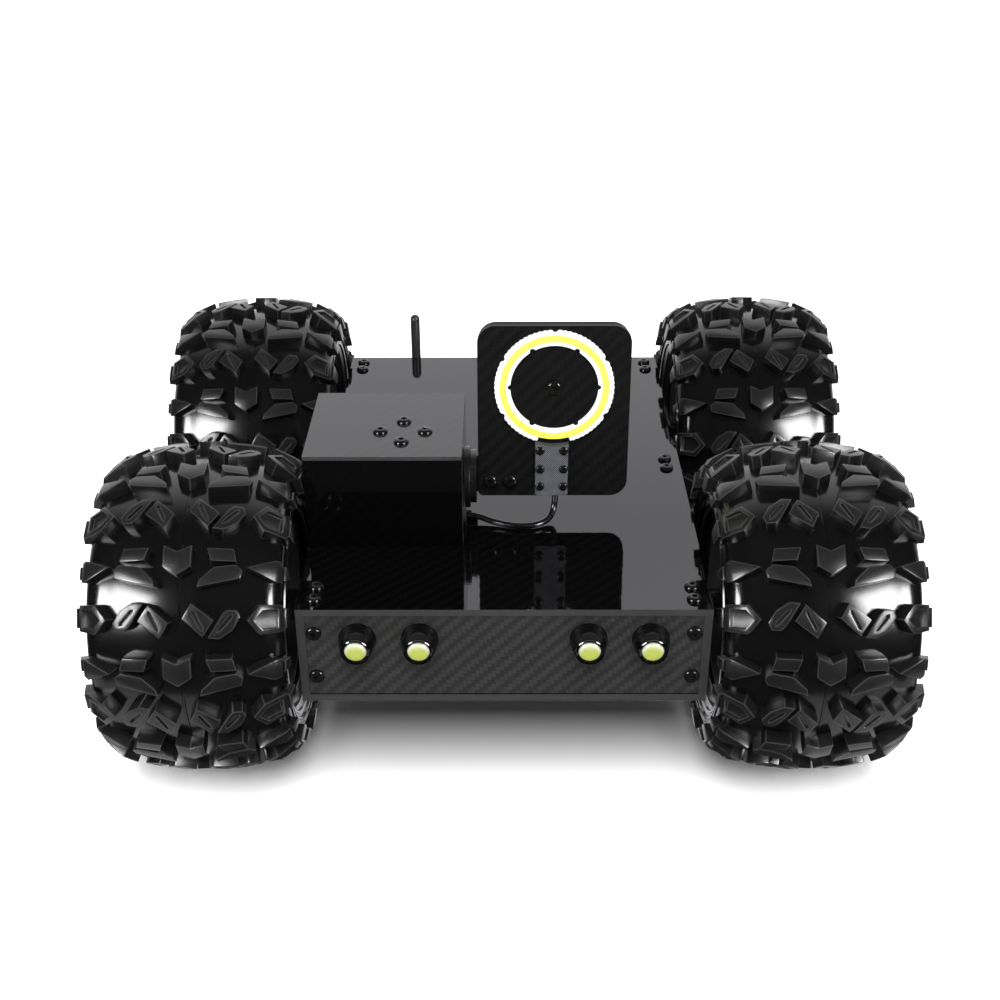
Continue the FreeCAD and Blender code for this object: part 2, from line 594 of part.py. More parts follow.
cable_exit = Vector(dim("box_right") + 1.2, -75.9, 123.5)
grommet_hole = "5.2"
right_wall = box("right_wall_blank", ("box_right - box_wall", "box_front + box_wall", box_floor),
                 ("box_wall", side_depth, wall_height))
wall_holes = [rod("hub_hole", ("box_right - 10", "tilt_y", "tilt_z"), "14", "20", X_AXIS),
              rod("grommet_bore", ("box_right - 10", str(cable_exit.y), str(cable_exit.z)),
                  grommet_hole, "20", X_AXIS)]
keep(minus("right_wall_cut", right_wall, wall_holes), "box_right_wall")


def grommet():
    """Flanged rubber sleeve; the cable starts at its outer face."""
    wall = dim("box_wall")
    inside = -1.2 - wall - 1.0
    outline = [(0.0, 0.0), (0.0, 2.4), (-0.4, 3.7), (-1.2, 3.7), (-1.2, 2.55), (inside + 1.0, 2.55),
               (inside + 1.0, 3.4), (inside, 3.4), (inside, 0.0)]
    return turned(outline)


feature("cable_grommet", set_along(grommet(), cable_exit, X_AXIS))

servo_long = 40.0
servo_wide = 20.0
servo_deep = 37.0
servo_face = dim("box_right") - dim("box_wall") - 0.1
hub_shaft_dia = 6.0
hub_shaft_depth = 8.0


def tilt_servo():
    """Servo case with its output at one end, facing the right wall of the box."""
    low = Vector(servo_face - servo_deep, dim("tilt_y") - servo_long + 10.0, dim("tilt_z") - servo_wide / 2)
    case = Part.makeBox(servo_deep, servo_long, servo_wide, low)
    case = case.makeFillet(1.5, [edge for edge in case.Edges if abs(edge.tangentAt(0).x) > 0.9])
    at = Vector(servo_face, dim("tilt_y"), dim("tilt_z"))
    nose = Part.makeCylinder(6.0, dim("box_wall"), at, X_AXIS)
    bore = Part.makeCylinder(hub_shaft_dia / 2 + 0.05, 40.0, at - X_AXIS * hub_shaft_depth, X_AXIS)
    return case.fuse(nose).cut(bore)


feature("tilt_servo", tilt_servo())

# ---------------------------------------------------------------- tilting head
# Head pieces are made upright about the ring's centre, then leaned back together.
head_seat = Placement(Vector(0, dim("plate_front"), dim("ring_z")), Rotation(X_AXIS, -dim("tilt_lean")))
axis_local = head_seat.inverse().multVec(Vector(0, dim("tilt_y"), dim("tilt_z")))
disc_face = dim("box_right") + 0.3
disc_thick = 3.0
leg_thick = 3.2
plate_low = dim("plate_bottom") - dim("ring_z")
plate_high = dim("plate_top") - dim("ring_z")
plate_screw_z = 139.5 - dim("ring_z")
plate_screw_x = (-7.1, 3.1)


def slab(low_x, high_x, low_z, high_z, near, far, radii):
    """Upright slab between two y values, corners rounded in the order SW, SE, NE, NW."""
    blank = Part.makeBox(high_x - low_x, far - near, high_z - low_z, Vector(low_x, near, low_z))
    corners = [(low_x, low_z), (high_x, low_z), (high_x, high_z), (low_x, high_z)]
    for (x, z), radius in zip(corners, radii):
        if radius > 0:
            edge = [e for e in blank.Edges
                    if abs(e.CenterOfMass.x - x) < 0.01 and abs(e.CenterOfMass.z - z) < 0.01]
            blank = blank.makeFillet(radius, edge)
    return blank


def tilt_hub():
    """Disc on the servo's output shaft."""
    at = Vector(disc_face, dim("tilt_y"), dim("tilt_z"))
    disc = Part.makeCylinder(dim("tilt_disc_dia") / 2, disc_thick, at, X_AXIS)
    disc = disc.makeFillet(0.5, disc.Edges[0])
    shaft_start = servo_face - hub_shaft_depth + 0.3
    shaft = Part.makeCylinder(hub_shaft_dia / 2, disc_face - shaft_start + 1.0,
                              Vector(shaft_start, dim("tilt_y"), dim("tilt_z")), X_AXIS)
    return disc.fuse(shaft)


def tilt_bracket():
    """Angle bracket: a leg on the disc and a flange behind the phone plate."""
    leg_x = disc_face + disc_thick
    half = 13.5
    leg = Part.makeBox(leg_thick, 2 * half - 2.0, 2 * half,
                       Vector(leg_x, axis_local.y - half + 2.0, axis_local.z - half))
    leg = leg.makeFillet(11.0, [e for e in leg.Edges if abs(e.tangentAt(0).x) > 0.9])
    back = dim("plate_thick")
    flange = Part.makeBox(9.5 - leg_x, leg_thick, 20.0, Vector(leg_x, back, plate_low + 1.0))
    solid = leg.fuse(flange)
    holes = [Part.makeCylinder(2.1, 20.0, Vector(x, -5.0, plate_screw_z), Y_AXIS) for x in plate_screw_x]
    return solid.cut(holes)


def phone_plate():
    corner = dim("plate_corner")
    blank = slab(dim("plate_left"), dim("plate_left") + dim("plate_width"), plate_low, plate_high,
                 0.0, dim("plate_thick"), (2.5, corner, corner, corner))
    holes = [Part.makeCylinder(2.15, 20.0, Vector(x, -5.0, plate_screw_z), Y_AXIS) for x in plate_screw_x]
    holes.append(Part.makeCylinder(2.15, 20.0, Vector(dim("ring_x"), -5.0, 0), Y_AXIS))
    return blank.cut(holes)


def phone_pad():
    """Soft holder pad behind the plate, notched round the bracket."""
    near = dim("plate_thick")
    right = dim("plate_left") + dim("plate_width")
    blank = slab(dim("plate_left") + 0.4, right - 0.4, plate_low + dim("pad_rise"), plate_high - 0.3, near,
                 near + dim("pad_thick"), (0, dim("plate_corner"), dim("plate_corner"), dim("plate_corner")))
    notch = Part.makeBox(25.0, 20.0, 33.0, Vector(dim("plate_left") - 2.0, near - 1.0, plate_low - 10.0))
    screw_room = Part.makeCylinder(2.3, 4.0, Vector(dim("ring_x"), near, 0), Y_AXIS)
    return blank.cut([notch, screw_room])


def light_board():
    """White ring board with round notches in both edges."""
    outer = dim("ring_outer_dia") / 2
    inner = dim("ring_inner_dia") / 2
    near = -dim("board_thick")
    middle = Vector(dim("ring_x"), near, 0)
    board = Part.makeCylinder(outer, dim("board_thick"), middle, Y_AXIS)
    cuts = [Part.makeCylinder(inner, dim("board_thick"), middle, Y_AXIS)]
    for step in range(6):
        for radius, turn, size in ((inner, 60.0 * step, 1.4), (outer, 60.0 * step + 30.0, 1.2)):
            angle = math.radians(turn)
            at = middle + Vector(radius * math.cos(angle), 0, radius * math.sin(angle))
            cuts.append(Part.makeCylinder(size, dim("board_thick"), at, Y_AXIS))
    return board.cut(cuts)


def light_phosphor():
    """Raised phosphor band on the board."""
    near = -dim("board_thick") - dim("glow_thick")
    middle = Vector(dim("ring_x"), near, 0)
    band = Part.makeCylinder(dim("glow_outer_dia") / 2, dim("glow_thick"), middle, Y_AXIS)
    return band.cut(Part.makeCylinder(dim("glow_inner_dia") / 2, dim("glow_thick"), middle, Y_AXIS))


clamp_screw_x = 5.9
clamp_screw_z = (138.5, 148.1, 158.3)
clamp_face = -dim("clamp_thick")


def clamp_seats():
    """Centres of the six clamp screws in the plate's plane."""
    return [(dim("clamp_x") + side * clamp_screw_x, height - dim("ring_z"))
            for side in (-1, 1) for height in clamp_screw_z]


def cable_clamp():
    """Printed block that holds the ring light's cable against the plate."""
    half = dim("clamp_width") / 2
    low = dim("clamp_bottom") - dim("ring_z")
    high = dim("clamp_top") - dim("ring_z")
    block = slab(dim("clamp_x") - half, dim("clamp_x") + half, low, high, clamp_face, 0.0, (1, 1, 1, 1))
    ring_room = Part.makeCylinder(dim("ring_outer_dia") / 2 + 0.3, 20.0, Vector(dim("ring_x"), -15.0, 0),
                                  Y_AXIS)
    holes = [Part.makeCylinder(1.3, 20.0, Vector(x, -15.0, z), Y_AXIS) for x, z in clamp_seats()]
    return block.cut([ring_room] + holes)


def head_piece(label, shape):
    return feature(label, shape, head_seat)


feature("tilt_hub", tilt_hub())
head_piece("tilt_bracket", tilt_bracket())
head_piece("phone_plate", phone_plate())
head_piece("phone_pad", phone_pad())
head_piece("light_board", light_board())
head_piece("light_phosphor", light_phosphor())
head_piece("cable_clamp", cable_clamp())
plate_screw = button_screw(dim("screw_head_dia"), dim("screw_head_tall"), dim("screw_thread_dia"), 6.0,
                           dim("hex_key"))
clamp_screw = button_screw(4.6, 1.3, 2.3, 4.2, 1.6)
plate_seats = [((x, 0.0, plate_screw_z), front_way) for x in plate_screw_x]
plate_seats.append(((dim("ring_x"), 0.0, 0.0), front_way))
head_piece("plate_screws", copies(plate_screw, plate_seats))
head_piece("clamp_screws", copies(clamp_screw, [((x, clamp_face, z), front_way) for x, z in clamp_seats()]))

# ---------------------------------------------------------------- ring light cable
# Free cable from the grommet in the box wall, along the deck, up into the clamp.
cable_points = [Vector(-19.3, -75.9, 123.5), Vector(-14.0, -75.9, 123.5), Vector(-5.5, -79.4, 121.6),
                Vector(6.0, -83.4, 121.3), Vector(16.8, -82.5, 121.4), Vector(23.8, -77.2, 122.2),
                Vector(26.4, -71.7, 127.2), Vector(26.3, -71.4, 133.7)]


def cord_path(points):
    """Straight runs joined by tangent arcs; returns the edges and the arcs' radii."""
    edges = []
    radii = []
    start = points[0]
    for before, corner, after in zip(points, points[1:], points[2:]):
        back_way = (before - corner).normalize()
        next_way = (after - corner).normalize()
        half_turn = (math.pi - back_way.getAngle(next_way)) / 2
        setback = 0.45 * min((corner - before).Length, (after - corner).Length)
        radius = setback / math.tan(half_turn)
        entry = corner + back_way * setback
        leave = corner + next_way * setback
        inward = (back_way + next_way).normalize()
        middle = corner + inward * (radius / math.cos(half_turn) - radius)
        edges.append(Part.LineSegment(start, entry).toShape())
        edges.append(Part.Arc(entry, middle, leave).toShape())
        radii.append(radius)
        start = leave
    edges.append(Part.LineSegment(start, points[-1]).toShape())
    return edges, radii


def cord(points, diameter):
    """Round cord along the path; its volume is compared with section times length."""
    edges, radii = cord_path(points)
    wire = Part.Wire(edges)
    section = Part.Wire(Part.makeCircle(diameter / 2, points[0], points[1] - points[0]))
    solid = wire.makePipeShell([section], True, False)
    expected = math.pi * diameter ** 2 / 4 * wire.Length
    print("cord radii mm:", [round(r, 1) for r in radii], "length mm:", round(wire.Length, 1),
          "volume ratio:", round(solid.Volume / expected, 4))
    return solid


feature("light_cable", cord(cable_points, dim("cable_dia")))

# ---------------------------------------------------------------- inside the body
pack_low = Vector(-69.0, 12.0, dim("body_bottom") + dim("floor_thick") + 0.2)
pack = Part.makeBox(138.0, 46.0, 26.0, pack_low)
feature("battery", pack.makeFillet(3.0, pack.Edges))
board_low = Vector(-42.5, -66.0, 78.0)
board_holes = [(board_low.x + dx, board_low.y + dy) for dx in (3.5, 81.5) for dy in (3.5, 52.5)]


def control_board():
    """Circuit board with a heat sink, a header row and a terminal block."""
    sheet_solid = Part.makeBox(85.0, 56.0, 1.6, board_low)
    parts = [Part.makeBox(20.0, 20.0, 8.0, board_low + Vector(30.0, 18.0, 1.6)),
             Part.makeBox(50.0, 5.0, 8.5, board_low + Vector(10.0, 47.5, 1.6)),
             Part.makeBox(40.0, 8.0, 10.0, board_low + Vector(22.0, 1.5, 1.6)),
             Part.makeBox(12.0, 14.0, 6.0, board_low + Vector(62.0, 20.0, 1.6))]
    holes = [Part.makeCylinder(1.6, 10.0, Vector(x, y, board_low.z - 2.0)) for x, y in board_holes]
    return sheet_solid.fuse(parts).cut(holes)


feature("control_board", control_board())
standoff_z = dim("body_bottom") + dim("floor_thick")
standoff = hex_prism(5.0, board_low.z - standoff_z)
feature("board_standoffs", copies(standoff, [((x, y, standoff_z), Z_AXIS) for x, y in board_holes]))

# ---------------------------------------------------------------- rear panel fittings
back_face = dim("body_front") + dim("body_length") - dim("panel_inset")
switch_at = Vector(dim("switch_x"), back_face, dim("switch_z"))
rocker_rest = -10.0


def power_switch():
    """Snap-in switch case with a bezel and a pocket for the rocker."""
    bezel = Part.makeBox(21.0, 1.5, 15.0, switch_at + Vector(-10.5, 0.0, -7.5))
    bezel = bezel.makeFillet(0.9, [e for e in bezel.Edges if abs(e.tangentAt(0).y) > 0.9])
    case = Part.makeBox(19.0, 14.0, 12.8, switch_at + Vector(-9.5, -14.0, -6.4))
    pocket = Part.makeBox(16.0, 7.0, 9.8, switch_at + Vector(-8.0, -5.5, -4.9))
    tabs = [Part.makeBox(0.8, 8.0, 4.8, switch_at + Vector(x, -22.0, -2.4)) for x in (-6.0, 0.0)]
    return bezel.fuse([case] + tabs).cut(pocket)


def switch_rocker():
    """Rocker with a dished face, turned to its off position."""
    outline = [(-7.2, 1.0), (-7.0, 3.2), (0.0, 1.9), (7.0, 3.2), (7.2, 1.0), (3.0, -3.0), (-3.0, -3.0)]
    points = [Vector(x, y, -4.5) for x, y in outline]
    rocker = Part.Face(Part.makePolygon(points + [points[0]])).extrude(Vector(0, 0, 9.0))
    rocker.rotate(Vector(0, 0, 0), Z_AXIS, rocker_rest)
    rocker.translate(switch_at)
    return rocker


feature("power_switch", power_switch())
feature("switch_rocker", switch_rocker())

jack_bore = dim("jack_bore_dia") / 2
jack_shell = turned([(3.0, jack_bore), (3.0, 6.2), (2.4, 7.0), (0.0, 7.0), (0.0, 5.5), (-12.0, 5.5),
                     (-12.0, 0.0), (2.0, 0.0), (2.0, 1.05), (-9.0, 1.05), (-9.0, jack_bore)])
feature("charge_jack", set_along(jack_shell, Vector(dim("jack_x"), back_face, dim("jack_z")), Y_AXIS))

antenna_at = Vector(dim("antenna_x"), back_face, dim("antenna_z"))
elbow_out = 18.2
fork_gap = 2.2
ear_thick = 2.0
ear_radius = 4.2
antenna_pin = 1.0


def sma_jack():
    """Threaded antenna socket with a flange nut on the rear panel."""
    barrel = Part.makeCylinder(3.1, 20.0, antenna_at - Y_AXIS * 10.0, Y_AXIS)
    turn = Rotation(Z_AXIS, Y_AXIS)
    inner_at = antenna_at - Y_AXIS * (dim("panel_thick") + 3.0)
    nut = hex_prism(8.0, 2.2).transformed(Placement(antenna_at, turn).toMatrix(), True)
    inner_nut = hex_prism(8.0, 3.0).transformed(Placement(inner_at, turn).toMatrix(), True)
    return barrel.fuse([nut, inner_nut])


def antenna_swivel():
    """Coupling sleeve that turns on the socket and carries the elbow's fork."""
    start = 2.8
    sleeve = Part.makeCylinder(4.8, 10.2, antenna_at + Y_AXIS * start, Y_AXIS)
    sleeve = sleeve.cut(Part.makeCylinder(3.15, 7.6, antenna_at + Y_AXIS * start, Y_AXIS))
    hinge = antenna_at + Y_AXIS * elbow_out
    wide = 2 * (fork_gap + ear_thick)
    ears = Part.makeCylinder(ear_radius, wide, hinge - X_AXIS * wide / 2, X_AXIS)
    neck = Part.makeBox(wide, elbow_out - start - 9.0, 2 * ear_radius,
                        antenna_at + Vector(-wide / 2, start + 9.0, -ear_radius))
    gap = Part.makeBox(2 * fork_gap, 20.0, 20.0, hinge + Vector(-fork_gap, -ear_radius - 0.4, -10.0))
    bore = Part.makeCylinder(antenna_pin + 0.05, 20.0, hinge - X_AXIS * 10.0, X_AXIS)
    return sleeve.fuse([ears, neck]).cut([gap, bore])


def antenna_rod():
    """Rubber-duck rod on a tongue and pin, with a domed tip."""
    hinge = antenna_at + Y_AXIS * elbow_out
    tongue_half = fork_gap - 0.2
    tongue = Part.makeCylinder(ear_radius - 0.2, 2 * tongue_half, hinge - X_AXIS * tongue_half, X_AXIS)
    pin_half = fork_gap + ear_thick
    pin = Part.makeCylinder(antenna_pin, 2 * pin_half, hinge - X_AXIS * pin_half, X_AXIS)
    radius = dim("antenna_dia") / 2
    tall = dim("antenna_top") - dim("antenna_z")
    whip = Part.makeCylinder(radius, tall - radius - 4.8, hinge + Z_AXIS * 4.8)
    tip = Part.makeSphere(radius, hinge + Z_AXIS * (tall - radius))
    neck = Part.makeBox(2 * fork_gap - 0.4, 5.0, 6.0, hinge + Vector(-fork_gap + 0.2, -2.5, 0.0))
    return tongue.fuse([pin, neck, whip, tip])


feature("sma_jack", sma_jack())
feature("antenna_swivel", antenna_swivel())
feature("antenna_rod", antenna_rod())

# ---------------------------------------------------------------- check and write
doc.recompute()
for obj in doc.Objects:
    if "Invalid" in obj.State or "Error" in obj.State:
        raise RuntimeError("%s failed to recompute" % obj.Label)
os.makedirs("parts", exist_ok=True)
for obj in nodes:
    if obj.Shape.isNull() or not obj.Shape.isValid() or obj.Shape.Volume <= 0:
        raise RuntimeError("%s has no valid shape" % obj.Label)
    obj.Shape.exportStep("parts/%s.step" % obj.Label)
print(len(nodes), "parts written")
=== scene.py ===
import math

import bmesh
import bpy
from mathutils import Matrix, Vector


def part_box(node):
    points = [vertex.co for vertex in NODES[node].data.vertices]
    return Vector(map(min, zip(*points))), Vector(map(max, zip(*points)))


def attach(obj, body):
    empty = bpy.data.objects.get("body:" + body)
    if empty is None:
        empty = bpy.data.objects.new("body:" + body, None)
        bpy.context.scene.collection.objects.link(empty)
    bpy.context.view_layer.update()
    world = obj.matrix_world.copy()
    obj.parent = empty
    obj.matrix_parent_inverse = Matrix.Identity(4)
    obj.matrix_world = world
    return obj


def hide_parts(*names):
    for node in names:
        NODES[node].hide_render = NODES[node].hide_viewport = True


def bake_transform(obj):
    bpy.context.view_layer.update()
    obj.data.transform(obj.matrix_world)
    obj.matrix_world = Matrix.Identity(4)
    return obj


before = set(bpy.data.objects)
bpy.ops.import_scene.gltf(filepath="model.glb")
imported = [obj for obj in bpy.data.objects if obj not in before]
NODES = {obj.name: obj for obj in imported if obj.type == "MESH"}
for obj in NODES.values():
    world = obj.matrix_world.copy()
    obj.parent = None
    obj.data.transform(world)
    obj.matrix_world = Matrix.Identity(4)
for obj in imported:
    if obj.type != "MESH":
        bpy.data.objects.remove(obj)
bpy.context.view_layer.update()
MM = 0.001


# ---------------------------------------------------------------- camera
CAMERA_PLACE = Vector((0.0, -684.0, 482.5)) * MM
CAMERA_PITCH = math.radians(29.92)
CAMERA_YAW = math.radians(0.19)
CAMERA_ROLL = math.radians(-0.16)
SENSOR_WIDTH = 36.0
FOCAL_LENGTH = 49.25

camera_data = bpy.data.cameras.new("camera")
camera_data.sensor_width = SENSOR_WIDTH
camera_data.lens = FOCAL_LENGTH
camera_data.clip_start = 0.01
camera_data.clip_end = 50.0
camera = bpy.data.objects.new("camera", camera_data)
camera.matrix_world = (Matrix.Translation(CAMERA_PLACE) @ Matrix.Rotation(CAMERA_YAW, 4, "Z")
                       @ Matrix.Rotation(math.pi / 2 - CAMERA_PITCH, 4, "X")
                       @ Matrix.Rotation(CAMERA_ROLL, 4, "Z"))
bpy.context.collection.objects.link(camera)
bpy.context.scene.camera = camera


# ---------------------------------------------------------------- mesh helpers
def add_object(name, mesh, materials):
    """Puts a mesh in the scene with its materials."""
    obj = bpy.data.objects.new(name, mesh)
    bpy.context.collection.objects.link(obj)
    for material in materials:
        mesh.materials.append(material)
    return obj


def mesh_from(bm, name, smooth_angle=None):
    """Finishes a bmesh: outward normals and smooth shading below the given angle."""
    bmesh.ops.remove_doubles(bm, verts=bm.verts, dist=1e-7)
    bmesh.ops.recalc_face_normals(bm, faces=bm.faces)
    if smooth_angle is not None:
        for face in bm.faces:
            face.smooth = True
        for edge in bm.edges:
            if len(edge.link_faces) == 2 and edge.calc_face_angle(0.0) > smooth_angle:
                edge.smooth = False
    mesh = bpy.data.meshes.new(name)
    bm.to_mesh(mesh)
    bm.free()
    return mesh


def lathe(bm, outline, segments, place=Matrix.Identity(4), closed=True, material=0):
    """Turns (along, radius) points about Z; points on the axis become poles."""
    rings = []
    for along, radius in outline:
        if radius < 1e-9:
            rings.append([bm.verts.new(place @ Vector((0, 0, along)))])
            continue
        ring = []
        for step in range(segments):
            turn = 2 * math.pi * step / segments
            point = Vector((radius * math.cos(turn), radius * math.sin(turn), along))
            ring.append(bm.verts.new(place @ point))
        rings.append(ring)
    pairs = list(zip(rings, rings[1:]))
    if closed:
        pairs.append((rings[-1], rings[0]))
    for first, second in pairs:
        if len(first) == 1 and len(second) == 1:
            continue
        for step in range(segments):
            after = (step + 1) % segments
            corners = [first[step % len(first)], first[after % len(first)],
                       second[after % len(second)], second[step % len(second)]]
            unique = []
            for corner in corners:
                if corner not in unique:
                    unique.append(corner)
            bm.faces.new(unique).material_index = material


def soften(bm, width, segments=2, angle=math.radians(35), material=-1):
    """Bevels every edge sharper than the angle; material is given to the new faces."""
    sharp = [edge for edge in bm.edges
             if len(edge.link_faces) == 2 and edge.calc_face_angle(0.0) > angle]
    bmesh.ops.bevel(bm, geom=sharp, offset=width, offset_type="OFFSET", segments=segments,
                    profile=0.6, affect="EDGES", clamp_overlap=True, material=material)


def pattern(bm):
    """Plain lists of a small mesh, ready to be stamped many times."""
    bm.verts.ensure_lookup_table()
    bm.verts.index_update()
    points = [vert.co.copy() for vert in bm.verts]
    faces = [([vert.index for vert in face.verts], face.material_index) for face in bm.faces]
    bm.free()
    return points, faces


def stamp(bm, shape, moved):
    """Adds a pattern to a mesh with every point sent through the given function."""
    points, faces = shape
    corners = [bm.verts.new(moved(point)) for point in points]
    for indices, material in faces:
        bm.faces.new([corners[index] for index in indices]).material_index = material


def plane_turn(axis):
    """Rotation that takes Z to the axis."""
    return Vector((0, 0, 1)).rotation_difference(Vector(axis)).to_matrix().to_4x4()


def islands(node):
    """Separate solids of a CAD node, each as the list of its vertex places."""
    bm = bmesh.new()
    bm.from_mesh(NODES[node].data)
    bmesh.ops.remove_doubles(bm, verts=bm.verts, dist=1e-6)
    seen = set()
    groups = []
    for start in bm.verts:
        if start in seen:
            continue
        seen.add(start)
        stack = [start]
        group = []
        while stack:
            vert = stack.pop()
            group.append(vert.co.copy())
            for edge in vert.link_edges:
                other = edge.other_vert(vert)
                if other not in seen:
                    seen.add(other)
                    stack.append(other)
        groups.append(group)
    bm.free()
    return groups


# ---------------------------------------------------------------- material helpers
class Shader:
    """A small wrapper that adds nodes to one material."""

    def __init__(self, name):
        self.material = bpy.data.materials.new(name)
        self.material.use_nodes = True
        self.tree = self.material.node_tree
        self.bsdf = self.tree.nodes["Principled BSDF"]

    def node(self, kind, **settings):
        node = self.tree.nodes.new(kind)
        for key, value in settings.items():
            setattr(node, key, value)
        return node

    def link(self, source, target):
        self.tree.links.new(source, target)

    def fill(self, socket, value):
        if isinstance(value, bpy.types.NodeSocket):
            self.link(value, socket)
        else:
            socket.default_value = value

    def math(self, operation, first, second=0.0, third=0.0):
        node = self.node("ShaderNodeMath", operation=operation)
        for socket, value in zip(node.inputs, (first, second, third)):
            self.fill(socket, value)
        return node.outputs[0]

    def mix(self, factor, first, second):
        node = self.node("ShaderNodeMix", data_type="RGBA")
        self.fill(node.inputs[0], factor)
        self.fill(node.inputs[6], first)
        self.fill(node.inputs[7], second)
        return node.outputs[2]

    def blend(self, factor, first, second):
        node = self.node("ShaderNodeMix", data_type="FLOAT")
        self.fill(node.inputs[0], factor)
        self.fill(node.inputs[2], first)
        self.fill(node.inputs[3], second)
        return node.outputs[0]

    def place(self, scale=(1, 1, 1), turn=(0, 0, 0)):
        """Object coordinates in metres, scaled and turned."""
        coordinates = self.node("ShaderNodeTexCoord")
        mapping = self.node("ShaderNodeMapping")
        mapping.inputs["Scale"].default_value = scale
        mapping.inputs["Rotation"].default_value = turn
        self.link(coordinates.outputs["Object"], mapping.inputs["Vector"])
        return mapping.outputs[0]

    def noise(self, scale, detail=3.0, stretch=(1, 1, 1), roughness=0.55):
        node = self.node("ShaderNodeTexNoise")
        node.inputs["Scale"].default_value = scale
        node.inputs["Detail"].default_value = detail
        node.inputs["Roughness"].default_value = roughness
        self.link(self.place(stretch), node.inputs["Vector"])
        return node.outputs["Fac"]

    def ramp(self, value, low, high):
        node = self.node("ShaderNodeMapRange")
        self.fill(node.inputs[0], value)
        node.inputs[3].default_value = low
        node.inputs[4].default_value = high
        return node.outputs[0]

    def bump(self, height, strength, distance):
        node = self.node("ShaderNodeBump")
        node.inputs["Strength"].default_value = strength
        node.inputs["Distance"].default_value = distance
        self.link(height, node.inputs["Height"])
        self.link(node.outputs[0], self.bsdf.inputs["Normal"])
        return node

    def set(self, **values):
        names = {"color": "Base Color", "roughness": "Roughness", "metallic": "Metallic",
                 "specular": "Specular IOR Level", "glow": "Emission Color",
                 "glow_strength": "Emission Strength"}
        for key, value in values.items():
            self.fill(self.bsdf.inputs[names[key]], value)


def grey(value, tint=(1.0, 1.0, 1.0)):
    """Opaque grey colour, slightly tinted if asked."""
    return (value * tint[0], value * tint[1], value * tint[2], 1.0)


def plain(name, color, roughness, grain=900.0, spread=0.25, bump=0.04, metallic=0.0, specular=0.5):
    """Moulded, coated or metal surface: fine grain in colour, gloss and relief."""
    shader = Shader(name)
    fine = shader.noise(grain, 4.0)
    broad = shader.noise(60.0, 2.0)
    shade = shader.math("ADD", shader.math("MULTIPLY", fine, 0.5), shader.math("MULTIPLY", broad, 0.5))
    low = tuple(channel * (1 - spread) for channel in color[:3]) + (1.0,)
    high = tuple(min(1.0, channel * (1 + spread)) for channel in color[:3]) + (1.0,)
    shader.set(color=shader.mix(shade, low, high),
               roughness=shader.ramp(shade, roughness * 0.8, min(1.0, roughness * 1.2)),
               metallic=metallic, specular=specular)
    shader.bump(fine, bump, 0.0002)
    return shader.material


TOW_WIDTH = 0.002
BOW_START = -0.075              # y where the deck's shading normals start to tilt as if it curled up toward its front end


def carbon(name, across, thick_axis, face, stripe, gloss, edge=0.075, relief=0.15, specular=0.5, bow=0.0):
    """Twill carbon plate: two by two weave on its faces and a dull cut edge.

    across names the two object axes in the plate's plane, thick_axis the third.
    bow is the curvature, per metre, of a bend given only to the shading normals, so that the plate's front
    end shades as if it curled up a little."""
    shader = Shader(name)
    coordinates = shader.node("ShaderNodeTexCoord")
    split = shader.node("ShaderNodeSeparateXYZ")
    shader.link(coordinates.outputs["Object"], split.inputs[0])
    warp = shader.math("DIVIDE", split.outputs[across[0]], TOW_WIDTH)
    weft = shader.math("DIVIDE", split.outputs[across[1]], TOW_WIDTH)
    cell = shader.math("SUBTRACT", shader.math("FLOOR", warp), shader.math("FLOOR", weft))
    phase = shader.math("FLOORED_MODULO", cell, 4.0)
    on_top = shader.math("LESS_THAN", phase, 1.5)
    across_warp = shader.math("SINE", shader.math("MULTIPLY", shader.math("FRACT", warp), math.pi))
    across_weft = shader.math("SINE", shader.math("MULTIPLY", shader.math("FRACT", weft), math.pi))
    hump = shader.blend(on_top, across_weft, across_warp)
    fibre_warp = shader.noise(2600.0, 2.0, tuple(1.0 if axis == across[0] else 0.08 for axis in range(3)))
    fibre_weft = shader.noise(2600.0, 2.0, tuple(1.0 if axis == across[1] else 0.08 for axis in range(3)))
    fibre = shader.blend(on_top, fibre_weft, fibre_warp)
    cloud = shader.noise(28.0, 3.0)
    tone = shader.math("ADD", shader.math("MULTIPLY", on_top, 0.55),
                       shader.math("ADD", shader.math("MULTIPLY", hump, 0.2),
                                   shader.math("MULTIPLY", fibre, 0.25)))
    tone = shader.math("MULTIPLY", tone, shader.ramp(cloud, 0.75, 1.25))
    woven = shader.mix(tone, grey(face * (1 - stripe)), grey(face * (1 + stripe), (1.0, 0.985, 0.955)))
    normal = shader.node("ShaderNodeSeparateXYZ")
    shader.link(coordinates.outputs["Normal"], normal.inputs[0])
    flat = shader.math("GREATER_THAN", shader.math("ABSOLUTE", normal.outputs[thick_axis]), 0.7)
    layers = shader.noise(900.0, 3.0, tuple(6.0 if axis == thick_axis else 0.4 for axis in range(3)))
    cut_edge = shader.mix(layers, grey(edge * 0.6), grey(edge * 1.35))
    shader.set(color=shader.mix(flat, cut_edge, woven),
               roughness=shader.blend(flat, shader.ramp(layers, 0.42, 0.6),
                                      shader.ramp(cloud, gloss * 0.85, gloss * 1.15)),
               specular=specular)
    weave = shader.bump(shader.math("ADD", hump, shader.math("MULTIPLY", fibre, 0.3)), relief, 0.00012)
    if bow:
        past = shader.math("MAXIMUM", shader.math("SUBTRACT", BOW_START, split.outputs[1]), 0.0)
        lift = shader.math("MULTIPLY", shader.math("MULTIPLY", past, past), bow / 2)
        curl = shader.bump(lift, 1.0, 1.0)          # its link to the shader is replaced below
        shader.link(curl.outputs[0], weave.inputs["Normal"])
        shader.link(weave.outputs[0], shader.bsdf.inputs["Normal"])
    return shader.material


